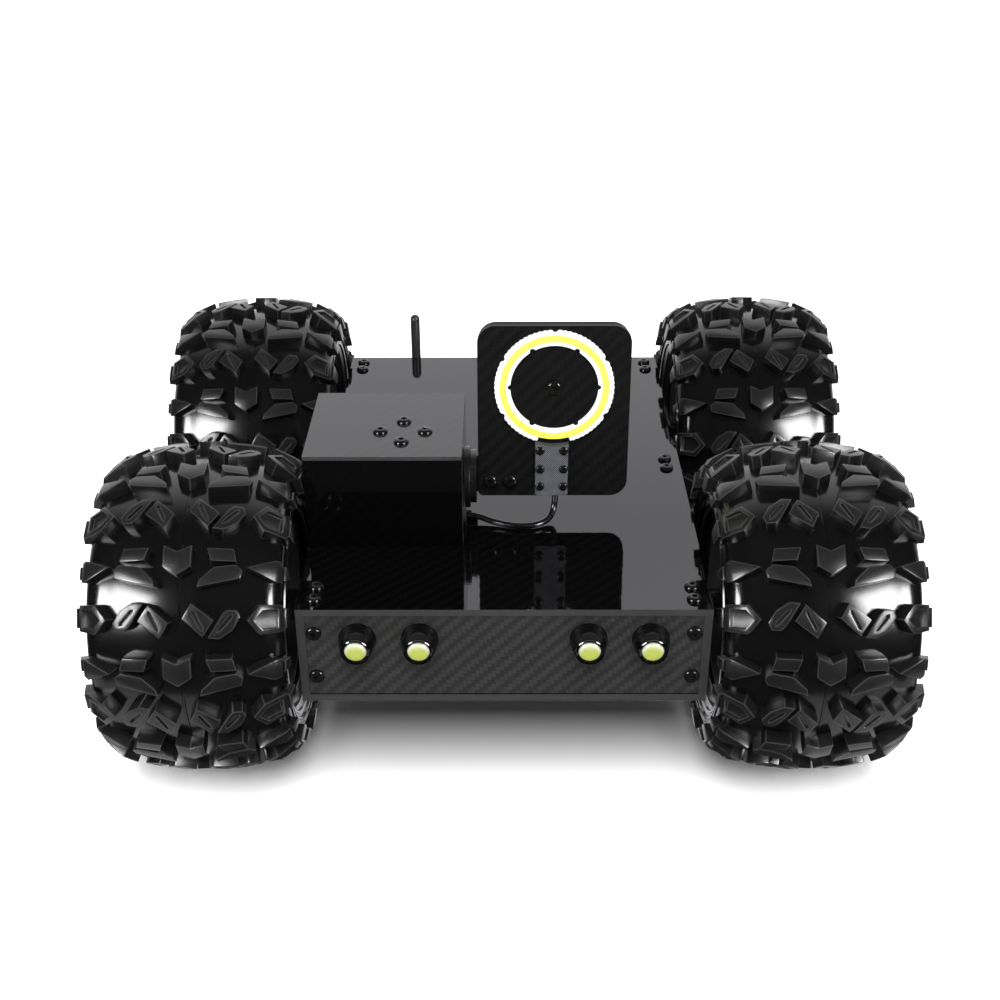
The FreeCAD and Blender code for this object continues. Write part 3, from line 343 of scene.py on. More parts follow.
def rubber(name, tone, roughness, relief):
    """Moulded rubber with a soft gloss, faint scuffs and a fine pebble."""
    shader = Shader(name)
    pebble = shader.noise(1500.0, 4.0)
    scuff = shader.noise(45.0, 5.0, roughness=0.7)
    shader.set(color=shader.mix(scuff, grey(tone * 0.7), grey(tone * 1.5, (1.0, 0.99, 0.98))),
               roughness=shader.ramp(scuff, roughness * 0.82, roughness * 1.2), specular=0.5)
    shader.bump(shader.math("ADD", pebble, shader.math("MULTIPLY", scuff, 0.6)), relief, 0.0002)
    return shader.material


def printed(name):
    """Printed plastic: slanting strands whose crests are painted lighter, a painted highlight along each
    strand.
    """
    shader = Shader(name)
    wave = shader.node("ShaderNodeTexWave", wave_type="BANDS", bands_direction="X")
    wave.inputs["Scale"].default_value = 420.0
    wave.inputs["Distortion"].default_value = 1.2
    wave.inputs["Detail"].default_value = 2.0
    shader.link(shader.place(turn=(0.0, math.radians(45), 0.0)), wave.inputs["Vector"])
    patch = shader.noise(220.0, 3.0)
    # The strands are the real print texture; their lighter crests are a painted highlight.
    tone = shader.math("MULTIPLY", wave.outputs["Fac"], shader.ramp(patch, 0.2, 1.3))
    shader.set(color=shader.mix(tone, (0.004, 0.0045, 0.006, 1), (0.1, 0.108, 0.122, 1)),
               roughness=shader.ramp(patch, 0.35, 0.55))
    shader.bump(wave.outputs["Fac"], 0.5, 0.0003)
    return shader.material


def phosphor(name, low, high, strength):
    """Yellow phosphor with a fine speckle; its glow is painted light that keeps it evenly bright."""
    shader = Shader(name)
    speckle = shader.noise(1400.0, 3.0)
    tint = shader.mix(speckle, low, high)
    # The emission is painted light on the phosphor, not light of its own.
    shader.set(color=tint, glow=tint, glow_strength=strength, roughness=0.45)
    shader.bump(speckle, 0.08, 0.0001)
    return shader.material


def lamp_glass(name):
    """Lamp lens: a painted pale reflection at the rim, widest at the top, over a yellow-green chip in the
    middle; the whole lens carries a painted glow although the lamp is not lit.
    """
    shader = Shader(name)
    attribute = shader.node("ShaderNodeAttribute", attribute_name="lens_spot")
    speckle = shader.noise(900.0, 3.0)
    spot = shader.math("ADD", attribute.outputs["Fac"], shader.ramp(speckle, -0.12, 0.12))
    spot.node.use_clamp = True
    # Away from the chip the pale colour is a painted reflection; the yellow-green is the chip's own colour.
    tint = shader.mix(spot, (0.4, 0.42, 0.34, 1), (0.25, 0.28, 0.055, 1))
    # The glow is painted light: the lamp itself is not lit.
    shader.set(color=tint, glow=tint, glow_strength=0.3, roughness=0.12)
    return shader.material


# ---------------------------------------------------------------- materials
PANEL_TONE = 0.019
carbon_deck = carbon("carbon_deck", (0, 1), 2, 0.0012, 0.5, 0.035, relief=0.02, edge=0.024, bow=0.9)
carbon_lid = carbon("carbon_lid", (0, 1), 2, 0.010, 0.4, 0.13, relief=0.05, edge=0.024)
carbon_front = carbon("carbon_front", (0, 2), 1, PANEL_TONE, 0.42, 0.42, relief=0.2, edge=0.05, specular=0.25)
carbon_wall = carbon("carbon_wall", (0, 2), 1, 0.0012, 0.3, 0.06, relief=0.03, edge=0.12)
carbon_side = carbon("carbon_side", (1, 2), 0, 0.004, 0.35, 0.1, relief=0.05, edge=0.02)
carbon_head = carbon("carbon_head", (0, 2), 1, 0.0045, 0.5, 0.3, relief=0.2, edge=0.003, specular=0.2)
tread_rubber = rubber("tread_rubber", 0.005, 0.3, 0.2)
# Painted glint: a lighter rubber for the bevels along the tread blocks' edges, standing in for thin bright
# edge highlights.
painted_glint_rubber = rubber("painted_glint_rubber", 0.03, 0.16, 0.05)
carcass_rubber = rubber("carcass_rubber", 0.002, 0.17, 0.04)
screw_black = plain("screw_black", grey(0.005), 0.18, 1800.0, 0.3, 0.04, metallic=0.2)
anodised = plain("anodised", grey(0.014), 0.33, 1500.0, 0.3, 0.08, metallic=0.6)
moulded = plain("moulded", grey(0.02), 0.4, 1300.0, 0.3, 0.12)
rim_plastic = plain("rim_plastic", grey(0.016), 0.34, 900.0, 0.25, 0.1)
pad_foam = plain("pad_foam", grey(0.006), 0.55, 2200.0, 0.35, 0.35, specular=0.06)
steel = plain("steel", grey(0.42), 0.28, 1200.0, 0.2, 0.06, metallic=1.0)
motor_can = plain("motor_can", grey(0.3), 0.33, 900.0, 0.2, 0.05, metallic=1.0)
lamp_black = plain("lamp_black", grey(0.002), 0.045, 900.0, 0.2, 0.0, specular=0.25)
lamp_rim_metal = plain("lamp_rim_metal", grey(0.09), 0.12, 900.0, 0.1, 0.02, metallic=1.0)
cable_skin = plain("cable_skin", grey(0.003), 0.2, 700.0, 0.25, 0.05)
board_white = plain("board_white", (0.92, 0.93, 0.95, 1.0), 0.4, 900.0, 0.04, 0.03)
battery_wrap = plain("battery_wrap", (0.03, 0.06, 0.2, 1.0), 0.22, 300.0, 0.3, 0.15)
circuit_green = plain("circuit_green", (0.015, 0.09, 0.04, 1.0), 0.35, 500.0, 0.3, 0.1)
rocker_red = plain("rocker_red", (0.3, 0.012, 0.012, 1.0), 0.2, 900.0, 0.15, 0.03)
clamp_print = printed("clamp_print")
ring_painted_glow = phosphor("ring_painted_glow", (0.9, 0.9, 0.03, 1), (1.0, 1.0, 0.1, 1), 0.5)
lens_painted_glow = lamp_glass("lens_painted_glow")


def give(material, *names):
    """Gives CAD nodes that keep their own shape a material."""
    for name in names:
        slots = NODES[name].material_slots
        if not slots:
            NODES[name].data.materials.append(material)
        for entry in slots:
            entry.material = material


CORNERS = {corner: corner.split("_") for corner in
           ("front_left", "front_right", "rear_left", "rear_right")}
give(carbon_deck, "top_deck", "bottom_plate")
give(carbon_lid, "box_lid")
give(carbon_front, "front_panel", "rear_panel")
give(carbon_wall, "box_front_wall", "box_back_wall")
give(carbon_side, "side_plate_left", "side_plate_right", "box_left_wall", "box_right_wall")
give(anodised, "deck_rails", "mounting_blocks", "tilt_bracket", "tilt_hub")
give(steel, "lamp_nuts", "board_standoffs", "sma_jack")
give(moulded, "tilt_servo", "power_switch", "charge_jack", "antenna_swivel", "antenna_rod", "cable_grommet")
give(rocker_red, "switch_rocker")
give(battery_wrap, "battery")
give(circuit_green, "control_board")
give(pad_foam, "phone_pad")
for corner in CORNERS:
    give(motor_can, "gearmotor_" + corner)
    give(steel, "drive_hub_" + corner, "wheel_nut_" + corner)
    give(rim_plastic, "rim_" + corner)


# ---------------------------------------------------------------- tyres
TREAD_ROWS = 10
ROW_STEP = 2 * math.pi / TREAD_ROWS
TREAD_RADIUS = 84.0             # top of the blocks on the middle line
LUG_HEIGHT = 7.0                # of a block over the carcass
BULGE = 1.018                   # widening of the whole section under load
SIDE_HEIGHT = 2.6               # of the shoulder envelope over the carcass at its widest
CROWN_BEND = 132.0              # radius of the crown across the tyre
CROWN_HALF = 36.0               # across, from the middle line to where the shoulder starts
SHOULDER_BEND = 16.5            # radius of the shoulder
EDGE_SLOPE = math.asin(CROWN_HALF / CROWN_BEND)
CROWN_LENGTH = CROWN_BEND * EDGE_SLOPE
SECOND_ROW = math.radians(18.8)
FRONT_PHASE = math.radians(25.1)
REAR_PHASE = math.radians(33.7)


def section(along, height):
    """Point (across, radius) of the tyre's section.

    along is measured on the block tops from the middle line, height outward from them."""
    side = 1.0 if along >= 0 else -1.0
    reach = abs(along)
    if reach <= CROWN_LENGTH:
        slope = reach / CROWN_BEND
        across = (CROWN_BEND + height) * math.sin(slope)
        radius = TREAD_RADIUS - CROWN_BEND + (CROWN_BEND + height) * math.cos(slope)
        return side * across, radius
    slope = min(EDGE_SLOPE + (reach - CROWN_LENGTH) / SHOULDER_BEND, math.pi / 2)
    left = max(0.0, reach - CROWN_LENGTH - SHOULDER_BEND * (math.pi / 2 - EDGE_SLOPE))
    hub_across = (CROWN_BEND - SHOULDER_BEND) * math.sin(EDGE_SLOPE)
    hub_radius = TREAD_RADIUS - CROWN_BEND + (CROWN_BEND - SHOULDER_BEND) * math.cos(EDGE_SLOPE)
    across = hub_across + (SHOULDER_BEND + height) * math.sin(slope)
    radius = hub_radius + (SHOULDER_BEND + height) * math.cos(slope) - left
    return side * across, radius


def on_tyre(along, forward, height, row_turn):
    """Place of a tread point in the wheel's own frame, in metres."""
    across, radius = section(along, height)
    turn = row_turn - forward / TREAD_RADIUS
    return Vector((across * BULGE, -radius * math.sin(turn), radius * math.cos(turn))) * MM


CARCASS_SLOT, BLOCK_SLOT, PAINTED_GLINT_SLOT = range(3)      # materials of the tyre's mesh; the third is a lighter rubber on the blocks' bevels, a painted glint


def block_mesh(outline, recess, sink, foot, crown, flare=0.6):
    """One tread block in flat (along, forward, height) space, with bevelled edges whose faces take the
    lighter rubber, a painted glint.

    recess is an outline sunk into the top; flare widens the foot."""
    bm = bmesh.new()
    middle = Vector((sum(p[0] for p in outline), sum(p[1] for p in outline))) / len(outline)
    top = [bm.verts.new((x, y, crown)) for x, y in outline]
    low = []
    for x, y in outline:
        out = (Vector((x, y)) - middle).normalized() * flare
        low.append(bm.verts.new((x + out.x, y + out.y, foot)))
    count = len(outline)
    for index in range(count):
        after = (index + 1) % count
        bm.faces.new((top[index], top[after], low[after], low[index]))
    bm.faces.new(low)
    rim_edges = [bm.edges.get((top[index], top[(index + 1) % count])) for index in range(count)]
    if recess is None:
        bm.faces.new(top)
    else:
        inner = [bm.verts.new((x, y, crown)) for x, y in recess]
        floor = [bm.verts.new((x, y, crown - sink)) for x, y in recess]
        number = len(recess)
        for index in range(number):
            after = (index + 1) % number
            bm.faces.new((inner[index], inner[after], floor[after], floor[index]))
            rim_edges.append(bm.edges.get((inner[index], inner[after])))
        bm.faces.new(floor)
        bmesh.ops.triangle_fill(bm, use_beauty=True, edges=rim_edges)
    bmesh.ops.recalc_face_normals(bm, faces=bm.faces)
    for face in bm.faces:
        face.material_index = BLOCK_SLOT
    # The new bevel faces get the lighter rubber, a painted glint along every sharp edge.
    soften(bm, 0.36, 2, math.radians(40), material=PAINTED_GLINT_SLOT)
    return bm


def lens_outline(start, end, half):
    """Slim slot between two points, pointed at both ends."""
    start, end = Vector(start), Vector(end)
    way = (end - start).normalized()
    side = Vector((-way.y, way.x)) * half
    taper = way * half * 1.6
    corners = (start, start + taper - side, end - taper - side, end, end - taper + side, start + taper + side)
    return [tuple(corner) for corner in corners]


# Tread blocks of one pitch, as (along, forward) outlines in millimetres.
DIAMOND = [(3.2, 1.0), (7.0, 8.3), (17.2, 0.3), (12.3, -7.4)]
DIAMOND_SLOT = lens_outline((7.4, 5.0), (12.2, -4.6), 0.75)
LEANING = [(14.6, -8.0), (20.9, 2.6), (23.2, 5.0), (27.6, 4.8), (29.0, 1.4), (25.6, -4.6), (19.6, -8.6)]
LEANING_SLOT = lens_outline((25.7, 2.7), (19.0, -5.2), 0.8)
PENTAGON = [(32.2, 0.0), (37.8, 7.3), (50.2, 7.3), (50.2, -7.3), (37.8, -7.3)]
PENTAGON_WINDOW = [(35.2, 0.0), (39.1, 4.8), (47.2, 4.8), (47.2, -4.8), (39.1, -4.8)]
SIDE_BLOCK = [(51.0, 5.6), (59.0, 4.8), (59.0, -4.8), (51.0, -5.6)]
CHEVRON = [(0.0, -4.0), (6.4, 0.2), (6.4, 10.4), (0.0, 7.2), (-6.4, 10.4), (-6.4, 0.2)]
SMALL_BLOCK = [(15.2, 3.2), (26.8, 3.0), (25.1, 9.2), (13.2, 9.2)]
LONG_BLADE = [(9.6, -9.4), (28.6, -5.0), (29.6, -1.0), (26.4, 1.4), (16.8, 0.0), (10.4, -6.2)]
TRIANGLE = [(31.8, 0.6), (45.6, 5.6), (49.0, 5.2), (49.0, -5.8), (44.4, -5.6)]
SIDE_STUD = [(50.4, 3.4), (56.5, 2.8), (56.5, -2.8), (50.4, -3.4)]


def turned_half(outline):
    """Outline turned by half a turn about the tyre's middle line."""
    return [(-x, -y) for x, y in outline]


def mirrored(outline):
    """Outline mirrored across the tyre's middle line."""
    return [(-x, y) for x, y in outline]


def tread_pitch():
    """Blocks of one pitch: (outline, recess, recess depth, foot, top, row offset)."""
    blocks = [(CHEVRON, None, 0.0, -8.6, 0.0, SECOND_ROW)]
    for flip in (list, turned_half):
        blocks.append((flip(DIAMOND), flip(DIAMOND_SLOT), 2.0, -8.6, 0.0, 0.0))
        blocks.append((flip(LEANING), flip(LEANING_SLOT), 2.0, -8.6, 0.0, 0.0))
    for flip in (list, mirrored):
        blocks.append((flip(PENTAGON), flip(PENTAGON_WINDOW), 2.2, -8.0, 0.4, 0.0))
        blocks.append((flip(SIDE_BLOCK), None, 0.0, -6.0, 1.4, 0.0))
        blocks.append((flip(SMALL_BLOCK), None, 0.0, -8.6, 0.0, SECOND_ROW))
        blocks.append((flip(LONG_BLADE), None, 0.0, -8.6, 0.0, SECOND_ROW))
        blocks.append((flip(TRIANGLE), None, 0.0, -8.0, 0.2, SECOND_ROW))
        blocks.append((flip(SIDE_STUD), None, 0.0, -6.0, 0.8, SECOND_ROW))
    return blocks


def carcass_outline():
    """(across, radius) points of the carcass skin from bead to bead, then back inside."""
    half = []
    steps = 26
    skirt = CROWN_LENGTH + SHOULDER_BEND * (math.pi / 2 - EDGE_SLOPE)
    for step in range(steps + 1):
        along = skirt * step / steps
        turn = min(1.0, max(0.0, (along - CROWN_HALF) / (skirt - CROWN_HALF)))
        rise = (LUG_HEIGHT - SIDE_HEIGHT) * turn * turn * (3 - 2 * turn)
        half.append(section(along, rise - LUG_HEIGHT))
    across, radius = half[-1]
    # Side wall: three raised rings, then the bead against the rim's lip.
    wall = [(across, radius - 1.2), (across + 0.7, radius - 1.6), (across + 0.7, radius - 2.4),
            (across - 0.2, radius - 2.8), (across - 0.4, radius - 4.2), (across + 0.3, radius - 4.6),
            (across + 0.3, radius - 5.4), (across - 0.9, radius - 5.8), (across - 1.4, radius - 7.2),
            (across - 0.7, radius - 7.6), (across - 0.9, radius - 8.4), (across - 2.2, radius - 8.9),
            (across - 3.2, radius - 10.6), (across - 5.0, radius - 11.0), (across - 6.2, radius - 12.0),
            (across - 6.4, radius - 14.0)]
    half += wall
    inside = [(across - 9.4, radius - 14.0), (across - 6.5, radius - 6.0), (across - 4.2, radius + 1.0),
              (across - 8.0, radius + 6.5), (20.0, TREAD_RADIUS - LUG_HEIGHT - 5.0),
              (0.0, TREAD_RADIUS - LUG_HEIGHT - 3.4)]
    right = half + inside
    left = [(-x, r) for x, r in reversed(right) if abs(x) > 1e-9]
    # Mould line: a thin raised rib along the middle.
    rib = [(-0.7, TREAD_RADIUS - LUG_HEIGHT), (-0.35, TREAD_RADIUS - LUG_HEIGHT + 0.35),
           (0.35, TREAD_RADIUS - LUG_HEIGHT + 0.35), (0.7, TREAD_RADIUS - LUG_HEIGHT)]
    return rib + right[1:] + left


def tyre_mesh():
    """Whole tyre about the origin: carcass, then ten pitches of blocks."""
    bm = bmesh.new()
    turn = Matrix.Rotation(math.pi / 2, 4, "Y")
    outline = [(x * BULGE * MM, r * MM) for x, r in carcass_outline()]
    lathe(bm, outline, 264, turn, closed=True, material=CARCASS_SLOT)
    for outline, recess, sink, foot, top, offset in tread_pitch():
        block = pattern(block_mesh(outline, recess, sink, foot, top))
        for row in range(TREAD_ROWS):
            row_turn = ROW_STEP * row + offset
            stamp(bm, block, lambda p, turn=row_turn: on_tyre(p.x, p.y, p.z, turn))
    return mesh_from(bm, "tyre", math.radians(32))


shared_tyre = tyre_mesh()
for corner, (end, _) in CORNERS.items():
    low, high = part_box("rim_" + corner)
    middle = (Vector(low) + Vector(high)) / 2
    phase = FRONT_PHASE if end == "front" else REAR_PHASE
    mesh = shared_tyre.copy()
    mesh.transform(Matrix.Rotation(phase, 4, "X"))
    tyre = add_object("tread_tyre_" + corner, mesh, [carcass_rubber, tread_rubber, painted_glint_rubber])
    tyre.matrix_world = Matrix.Translation(middle)
    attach(tyre, "wheel_" + corner)
    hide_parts("tyre_" + corner)


# ---------------------------------------------------------------- screws
def hex_socket(bm, size, depth, rim_radius, top, segments):
    """Top face of a screw from rim_radius in to a hexagonal socket, with the socket's walls and floor."""
    corners = [Vector((math.cos(math.pi / 3 * k), math.sin(math.pi / 3 * k), 0)) * size for k in range(6)]
    outer = []
    for step in range(segments):
        turn = 2 * math.pi * step / segments
        outer.append(bm.verts.new((rim_radius * math.cos(turn), rim_radius * math.sin(turn), top)))
    mouth = [bm.verts.new(corner + Vector((0, 0, top))) for corner in corners]
    throat = [bm.verts.new(corner * 0.93 + Vector((0, 0, top - 0.12 * depth))) for corner in corners]
    floor = [bm.verts.new(corner * 0.9 + Vector((0, 0, top - depth))) for corner in corners]
    loops = []
    for ring in (outer, mouth):
        for index, vert in enumerate(ring):
            loops.append(bm.edges.new((vert, ring[(index + 1) % len(ring)])))
    bmesh.ops.triangle_fill(bm, use_beauty=True, edges=loops)
    for upper, lower in ((mouth, throat), (throat, floor)):
        for index in range(6):
            after = (index + 1) % 6
            bm.faces.new((upper[index], upper[after], lower[after], lower[index]))
    bm.faces.new(floor)


def screw_pattern(head_radius, head_tall, thread_radius, reach, key):
    """Domed screw along Z in millimetres: head on z = 0, turned thread below it."""
    segments = 36
    tip = 0.5                   # length of the thread's cone end
    chamfer, rim = 0.12, 0.4    # heights under the head's dome
    outline = [(-reach, 0.0), (-reach, thread_radius * 0.7), (-reach + tip, thread_radius)]
    pitch = 0.35 * thread_radius
    along = -reach + tip + pitch
    while along < -pitch:
        outline.append((along - pitch / 2, thread_radius * 0.86))
        outline.append((along, thread_radius))
        along += pitch
    outline += [(0.0, thread_radius), (0.0, head_radius - chamfer), (chamfer, head_radius),
                (rim, head_radius)]
    flat_radius = 0.5 * head_radius
    for step in range(1, 9):
        angle = math.pi / 2 * step / 8
        outline.append((rim + (head_tall - rim) * math.sin(angle),
                        flat_radius + (head_radius - flat_radius) * math.cos(angle)))
    bm = bmesh.new()
    lathe(bm, outline, segments, closed=False)
    hex_socket(bm, key / math.sqrt(3), head_tall * 0.7, flat_radius, head_tall, segments)
    return pattern(bm)


def screw_seat(points, axis=None):
    """Place matrix of one CAD screw, head outward, with its head height and reach."""
    if axis is None:
        spans = [max(p[i] for p in points) - min(p[i] for p in points) for i in range(3)]
        axis = Vector([1.0 if i == spans.index(max(spans)) else 0.0 for i in range(3)])
    centre = sum(points, Vector()) / len(points)
    along = [(p - centre).dot(axis) for p in points]
    radii = [((p - centre) - axis * t).length for p, t in zip(points, along)]
    widest = max(radii)
    wide = [t for t, radius in zip(along, radii) if radius > 0.97 * widest]
    if sum(wide) / len(wide) < (max(along) + min(along)) / 2:
        axis = -axis
        along = [-t for t in along]
        wide = [-t for t in wide]
    seat = min(wide)
    place = Matrix.Translation(centre + axis * seat) @ plane_turn(axis)
    return place, (max(along) - seat) / MM, (seat - min(along)) / MM


LEAN = math.radians(4.8)
LEANED_FRONT = Vector((0.0, -math.cos(LEAN), math.sin(LEAN)))
SCREW_KINDS = {
    # node: (body, head diameter, thread diameter, key, axis of a leaned group)
    "button_screws": ("chassis", 7.5, 3.9, 2.5, None),
    "floor_screws": ("chassis", 7.5, 3.9, 2.5, None),
    "motor_screws": ("chassis", 5.5, 2.5, 2.0, None),
    "plate_screws": ("tilt_head", 7.5, 3.9, 2.5, LEANED_FRONT),
    "clamp_screws": ("tilt_head", 4.6, 2.3, 1.6, LEANED_FRONT),
}
for node, (body, head_dia, thread_dia, key, axis) in SCREW_KINDS.items():
    bm = bmesh.new()
    shape = None
    for index, points in enumerate(islands(node)):
        place, head_tall, reach = screw_seat(points, axis)
        if shape is None:
            shape = screw_pattern(head_dia / 2, head_tall, thread_dia / 2, reach, key)
        twist = Matrix.Rotation(math.radians(37.0 * index), 4, "Z")
        stamp(bm, shape, lambda p, m=place @ twist: m @ (p * MM))
    screws = add_object("domed_" + node, mesh_from(bm, "domed_" + node, math.radians(30)), [screw_black])
    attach(screws, body)
    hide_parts(node)


# ---------------------------------------------------------------- lamps
def bezier(points, steps):
    """Points of a cubic curve with the given four control points, without the first."""
    a, b, c, d = (Vector(p) for p in points)
    result = []
    for step in range(1, steps + 1):
        t = step / steps
        point = a * (1 - t) ** 3 + b * 3 * t * (1 - t) ** 2 + c * 3 * t * t * (1 - t) + d * t ** 3
        result.append(tuple(point))
    return result


housing = [(-13.8, 6.1), (-13.8, 6.7)]
along = -13.4
while along < -1.0:
    housing += [(along, 6.3), (along + 0.4, 6.78)]
    along += 0.8
housing += [(0.0, 6.7), (0.0, 8.75), (0.25, 9.0), (1.2, 9.0)]
housing += bezier([(1.2, 9.0), (1.9, 9.0), (2.3, 8.7), (3.0, 8.4)], 4)
housing += bezier([(3.0, 8.4), (5.4, 8.5), (7.0, 8.2), (8.3, 7.75)], 8)
housing += bezier([(8.3, 7.75), (9.6, 7.4), (10.6, 7.1), (11.0, 6.95)], 5)
bright_rim = [(11.0, 6.95), (11.35, 6.9), (11.58, 6.65), (11.6, 6.3), (11.45, 6.0)]
throat = [(11.45, 6.0), (11.1, 5.45), (10.6, 5.2), (9.4, 6.0)]
lens_profile = [(9.4, 0.0), (9.4, 5.3), (10.4, 5.16), (10.9, 4.9), (11.3, 4.2), (11.7, 3.1),
                (11.95, 1.6), (12.0, 0.0)]
LAMP_TURN = Matrix.Rotation(math.pi / 2, 4, "X")
CHIP_DROP = 1.5                 # of the yellow-green chip's middle under the lens's middle, which leaves the painted pale reflection widest at the top
CHIP_RADIUS = 5.5
CHIP_BLUR = 1.4


def turned_pieces(name, profiles, seats, segments, closed, materials, body, replaced, smooth):
    """Lathed parts copied to several seats as one object.  profiles holds (outline, material)."""
    bm = bmesh.new()
    part = bmesh.new()
    for outline, material in profiles:
        lathe(part, outline, segments, closed=False, material=material)
    if closed:
        first, last = profiles[0][0][0], profiles[-1][0][-1]
        lathe(part, [last, first], segments, closed=False)
    shape = pattern(part)
    for seat in seats:
        stamp(bm, shape, lambda p, m=seat: m @ (p * MM))
    piece = add_object(name, mesh_from(bm, name, smooth), materials)
    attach(piece, body)
    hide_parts(replaced)
    return piece


panel_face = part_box("front_panel")[0][1]
lamp_seats = []
for points in islands("lamp_lenses"):
    x = (max(p.x for p in points) + min(p.x for p in points)) / 2
    z = (max(p.z for p in points) + min(p.z for p in points)) / 2
    lamp_seats.append(Matrix.Translation((x, panel_face, z)) @ LAMP_TURN)
turned_pieces("lamp_bodies", [(housing, 0), (bright_rim, 1), (throat, 0)], lamp_seats, 72, True,
              [lamp_black, lamp_rim_metal], "chassis", "lamp_housings", math.radians(28))
lenses = turned_pieces("lamp_glasses", [(lens_profile, 0)], lamp_seats, 48, True, [lens_painted_glow],
                       "chassis", "lamp_lenses", math.radians(40))
# lens_spot is 1 on the chip and 0 on the painted pale reflection round it.
spot = lenses.data.attributes.new("lens_spot", "FLOAT", "POINT")
for vertex in lenses.data.vertices:
    seat = min(lamp_seats, key=lambda m: (m.translation - vertex.co).length)
    offset = vertex.co - seat.translation
    spread = math.hypot(offset.x, offset.z + CHIP_DROP * MM) / MM
    spot.data[vertex.index].value = max(0.0, min(1.0, (CHIP_RADIUS - spread) / CHIP_BLUR))


# ---------------------------------------------------------------- ring light
RING_CENTRE = Vector((25.2, -64.3, 190.8)) * MM
RING_SEAT = Matrix.Translation(RING_CENTRE) @ Matrix.Rotation(-LEAN, 4, "X")
RING_STEPS = 720
CLAMP_HALF = 8.3                # the board is cut back where the cable clamp covers its rim,
BOARD_CUT = 27.2                # to this radius


def notched(radius, depth_way, phase, size, ripple):
    """Radii round a ring edge with six round notches and a fine ripple."""
    result = []
    for step in range(RING_STEPS):
        turn = 360.0 * step / RING_STEPS
        away = abs((turn - phase + 30.0) % 60.0 - 30.0)
        chord = math.radians(away) * radius
        dent = math.sqrt(size * size - chord * chord) if chord < size else 0.0
        result.append(radius + depth_way * dent + ripple * math.cos(math.radians(turn * 72)))
    return result


def ring_band(name, loops, material, node):
    """Band built from loops of (radii, y) round the ring's axis, closed back to the first."""
    bm = bmesh.new()
    rings = []
    for radii, depth in loops:
        ring = []
        for step in range(RING_STEPS):
            turn = 2 * math.pi * step / RING_STEPS
            radius = radii[step] if isinstance(radii, list) else radii
            point = Vector((radius * math.cos(turn), depth, radius * math.sin(turn))) * MM
            ring.append(bm.verts.new(RING_SEAT @ point))
        rings.append(ring)
    for index, ring in enumerate(rings):
        other = rings[(index + 1) % len(rings)]
        for step in range(RING_STEPS):
            after = (step + 1) % RING_STEPS
            bm.faces.new((ring[step], ring[after], other[after], other[step]))
    piece = add_object(name, mesh_from(bm, name, math.radians(35)), [material])
    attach(piece, "tilt_head")
    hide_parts(node)


def inset(radii, amount):
    """Radii of a ring edge moved outward by the amount."""
    return [radius + amount for radius in radii]


board_outer = notched(29.8, -1.0, 30.0, 1.2, 0.18)
for step, radius in enumerate(board_outer):
    turn = 2 * math.pi * step / RING_STEPS
    if math.sin(turn) < 0 and abs(radius * math.cos(turn)) < CLAMP_HALF:
        board_outer[step] = BOARD_CUT
board_inner = notched(22.0, 1.0, 0.0, 1.4, 0.0)
ring_band("ring_board", [(board_outer, -0.05), (board_outer, -1.1), (inset(board_outer, -0.12), -1.2),
                         (inset(board_inner, 0.12), -1.2), (board_inner, -1.1), (board_inner, -0.05)],
          board_white, "light_board")
ring_band("ring_phosphor", [(27.4, -1.15), (27.35, -1.6), (27.0, -1.9), (26.3, -2.0), (24.9, -2.0),
                            (24.4, -1.9), (24.05, -1.6), (24.0, -1.15)],
          ring_painted_glow, "light_phosphor")
give(clamp_print, "cable_clamp")
give(carbon_head, "phone_plate")


# ---------------------------------------------------------------- ring light cable
CABLE_RADIUS = 1.6
CABLE_POINTS = [(-19.3, -75.9, 123.5), (-14.0, -75.9, 123.5), (-5.5, -79.4, 121.6), (6.0, -83.4, 121.3),
                (16.8, -82.5, 121.4), (23.8, -77.2, 122.2), (26.4, -71.7, 127.2), (26.3, -71.4, 133.7)]
cable_curve = bpy.data.curves.new("cable_path", "CURVE")
cable_curve.dimensions = "3D"
cable_curve.resolution_u = 16
spline = cable_curve.splines.new("NURBS")
spline.points.add(len(CABLE_POINTS) - 1)
for point, place in zip(spline.points, CABLE_POINTS):
    point.co = (place[0] * MM, place[1] * MM, place[2] * MM, 1.0)
spline.order_u = 3
spline.use_endpoint_u = True
cable_path = bpy.data.objects.new("cable_path", cable_curve)
bpy.context.collection.objects.link(cable_path)
path_mesh = bpy.data.meshes.new_from_object(cable_path)
line = [vertex.co.copy() for vertex in path_mesh.vertices]
bpy.data.objects.remove(cable_path)
bpy.data.meshes.remove(path_mesh)


def tube(name, path, radius, sides):
    """Round tube swept along the path, closed at both ends."""
    bm = bmesh.new()
    forward = (path[1] - path[0]).normalized()
    up = forward.orthogonal().normalized()
    rings = []
    for index, point in enumerate(path):
        before = path[max(index - 1, 0)]
        after = path[min(index + 1, len(path) - 1)]
        way = (after - before).normalized()
        up = (up - way * up.dot(way)).normalized()
        side = way.cross(up)
        ring = []
        for step in range(sides):
            turn = 2 * math.pi * step / sides
            ring.append(bm.verts.new(point + (up * math.cos(turn) + side * math.sin(turn)) * radius))
        rings.append(ring)
    for ring, other in zip(rings, rings[1:]):
        for step in range(sides):
            after = (step + 1) % sides
            bm.faces.new((ring[step], ring[after], other[after], other[step]))
    for ring in (rings[0], rings[-1]):
        bm.faces.new(ring)
    return mesh_from(bm, name, math.radians(50))


cable = add_object("ring_light_cable", tube("ring_light_cable", line, CABLE_RADIUS * MM, 24), [cable_skin])
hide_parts("light_cable")
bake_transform(cable)


# ---------------------------------------------------------------- stage and light
def flat_plane(name, width, depth, place):
    """Flat sheet of the studio, which isn't part of the object."""
    mesh = bpy.data.meshes.new(name)
    x, y = width / 2, depth / 2
    mesh.from_pydata([(-x, -y, 0), (x, -y, 0), (x, y, 0), (-x, y, 0)], [], [(0, 1, 2, 3)])
    obj = bpy.data.objects.new(name, mesh)
    bpy.context.collection.objects.link(obj)
    obj.matrix_world = place
    return obj


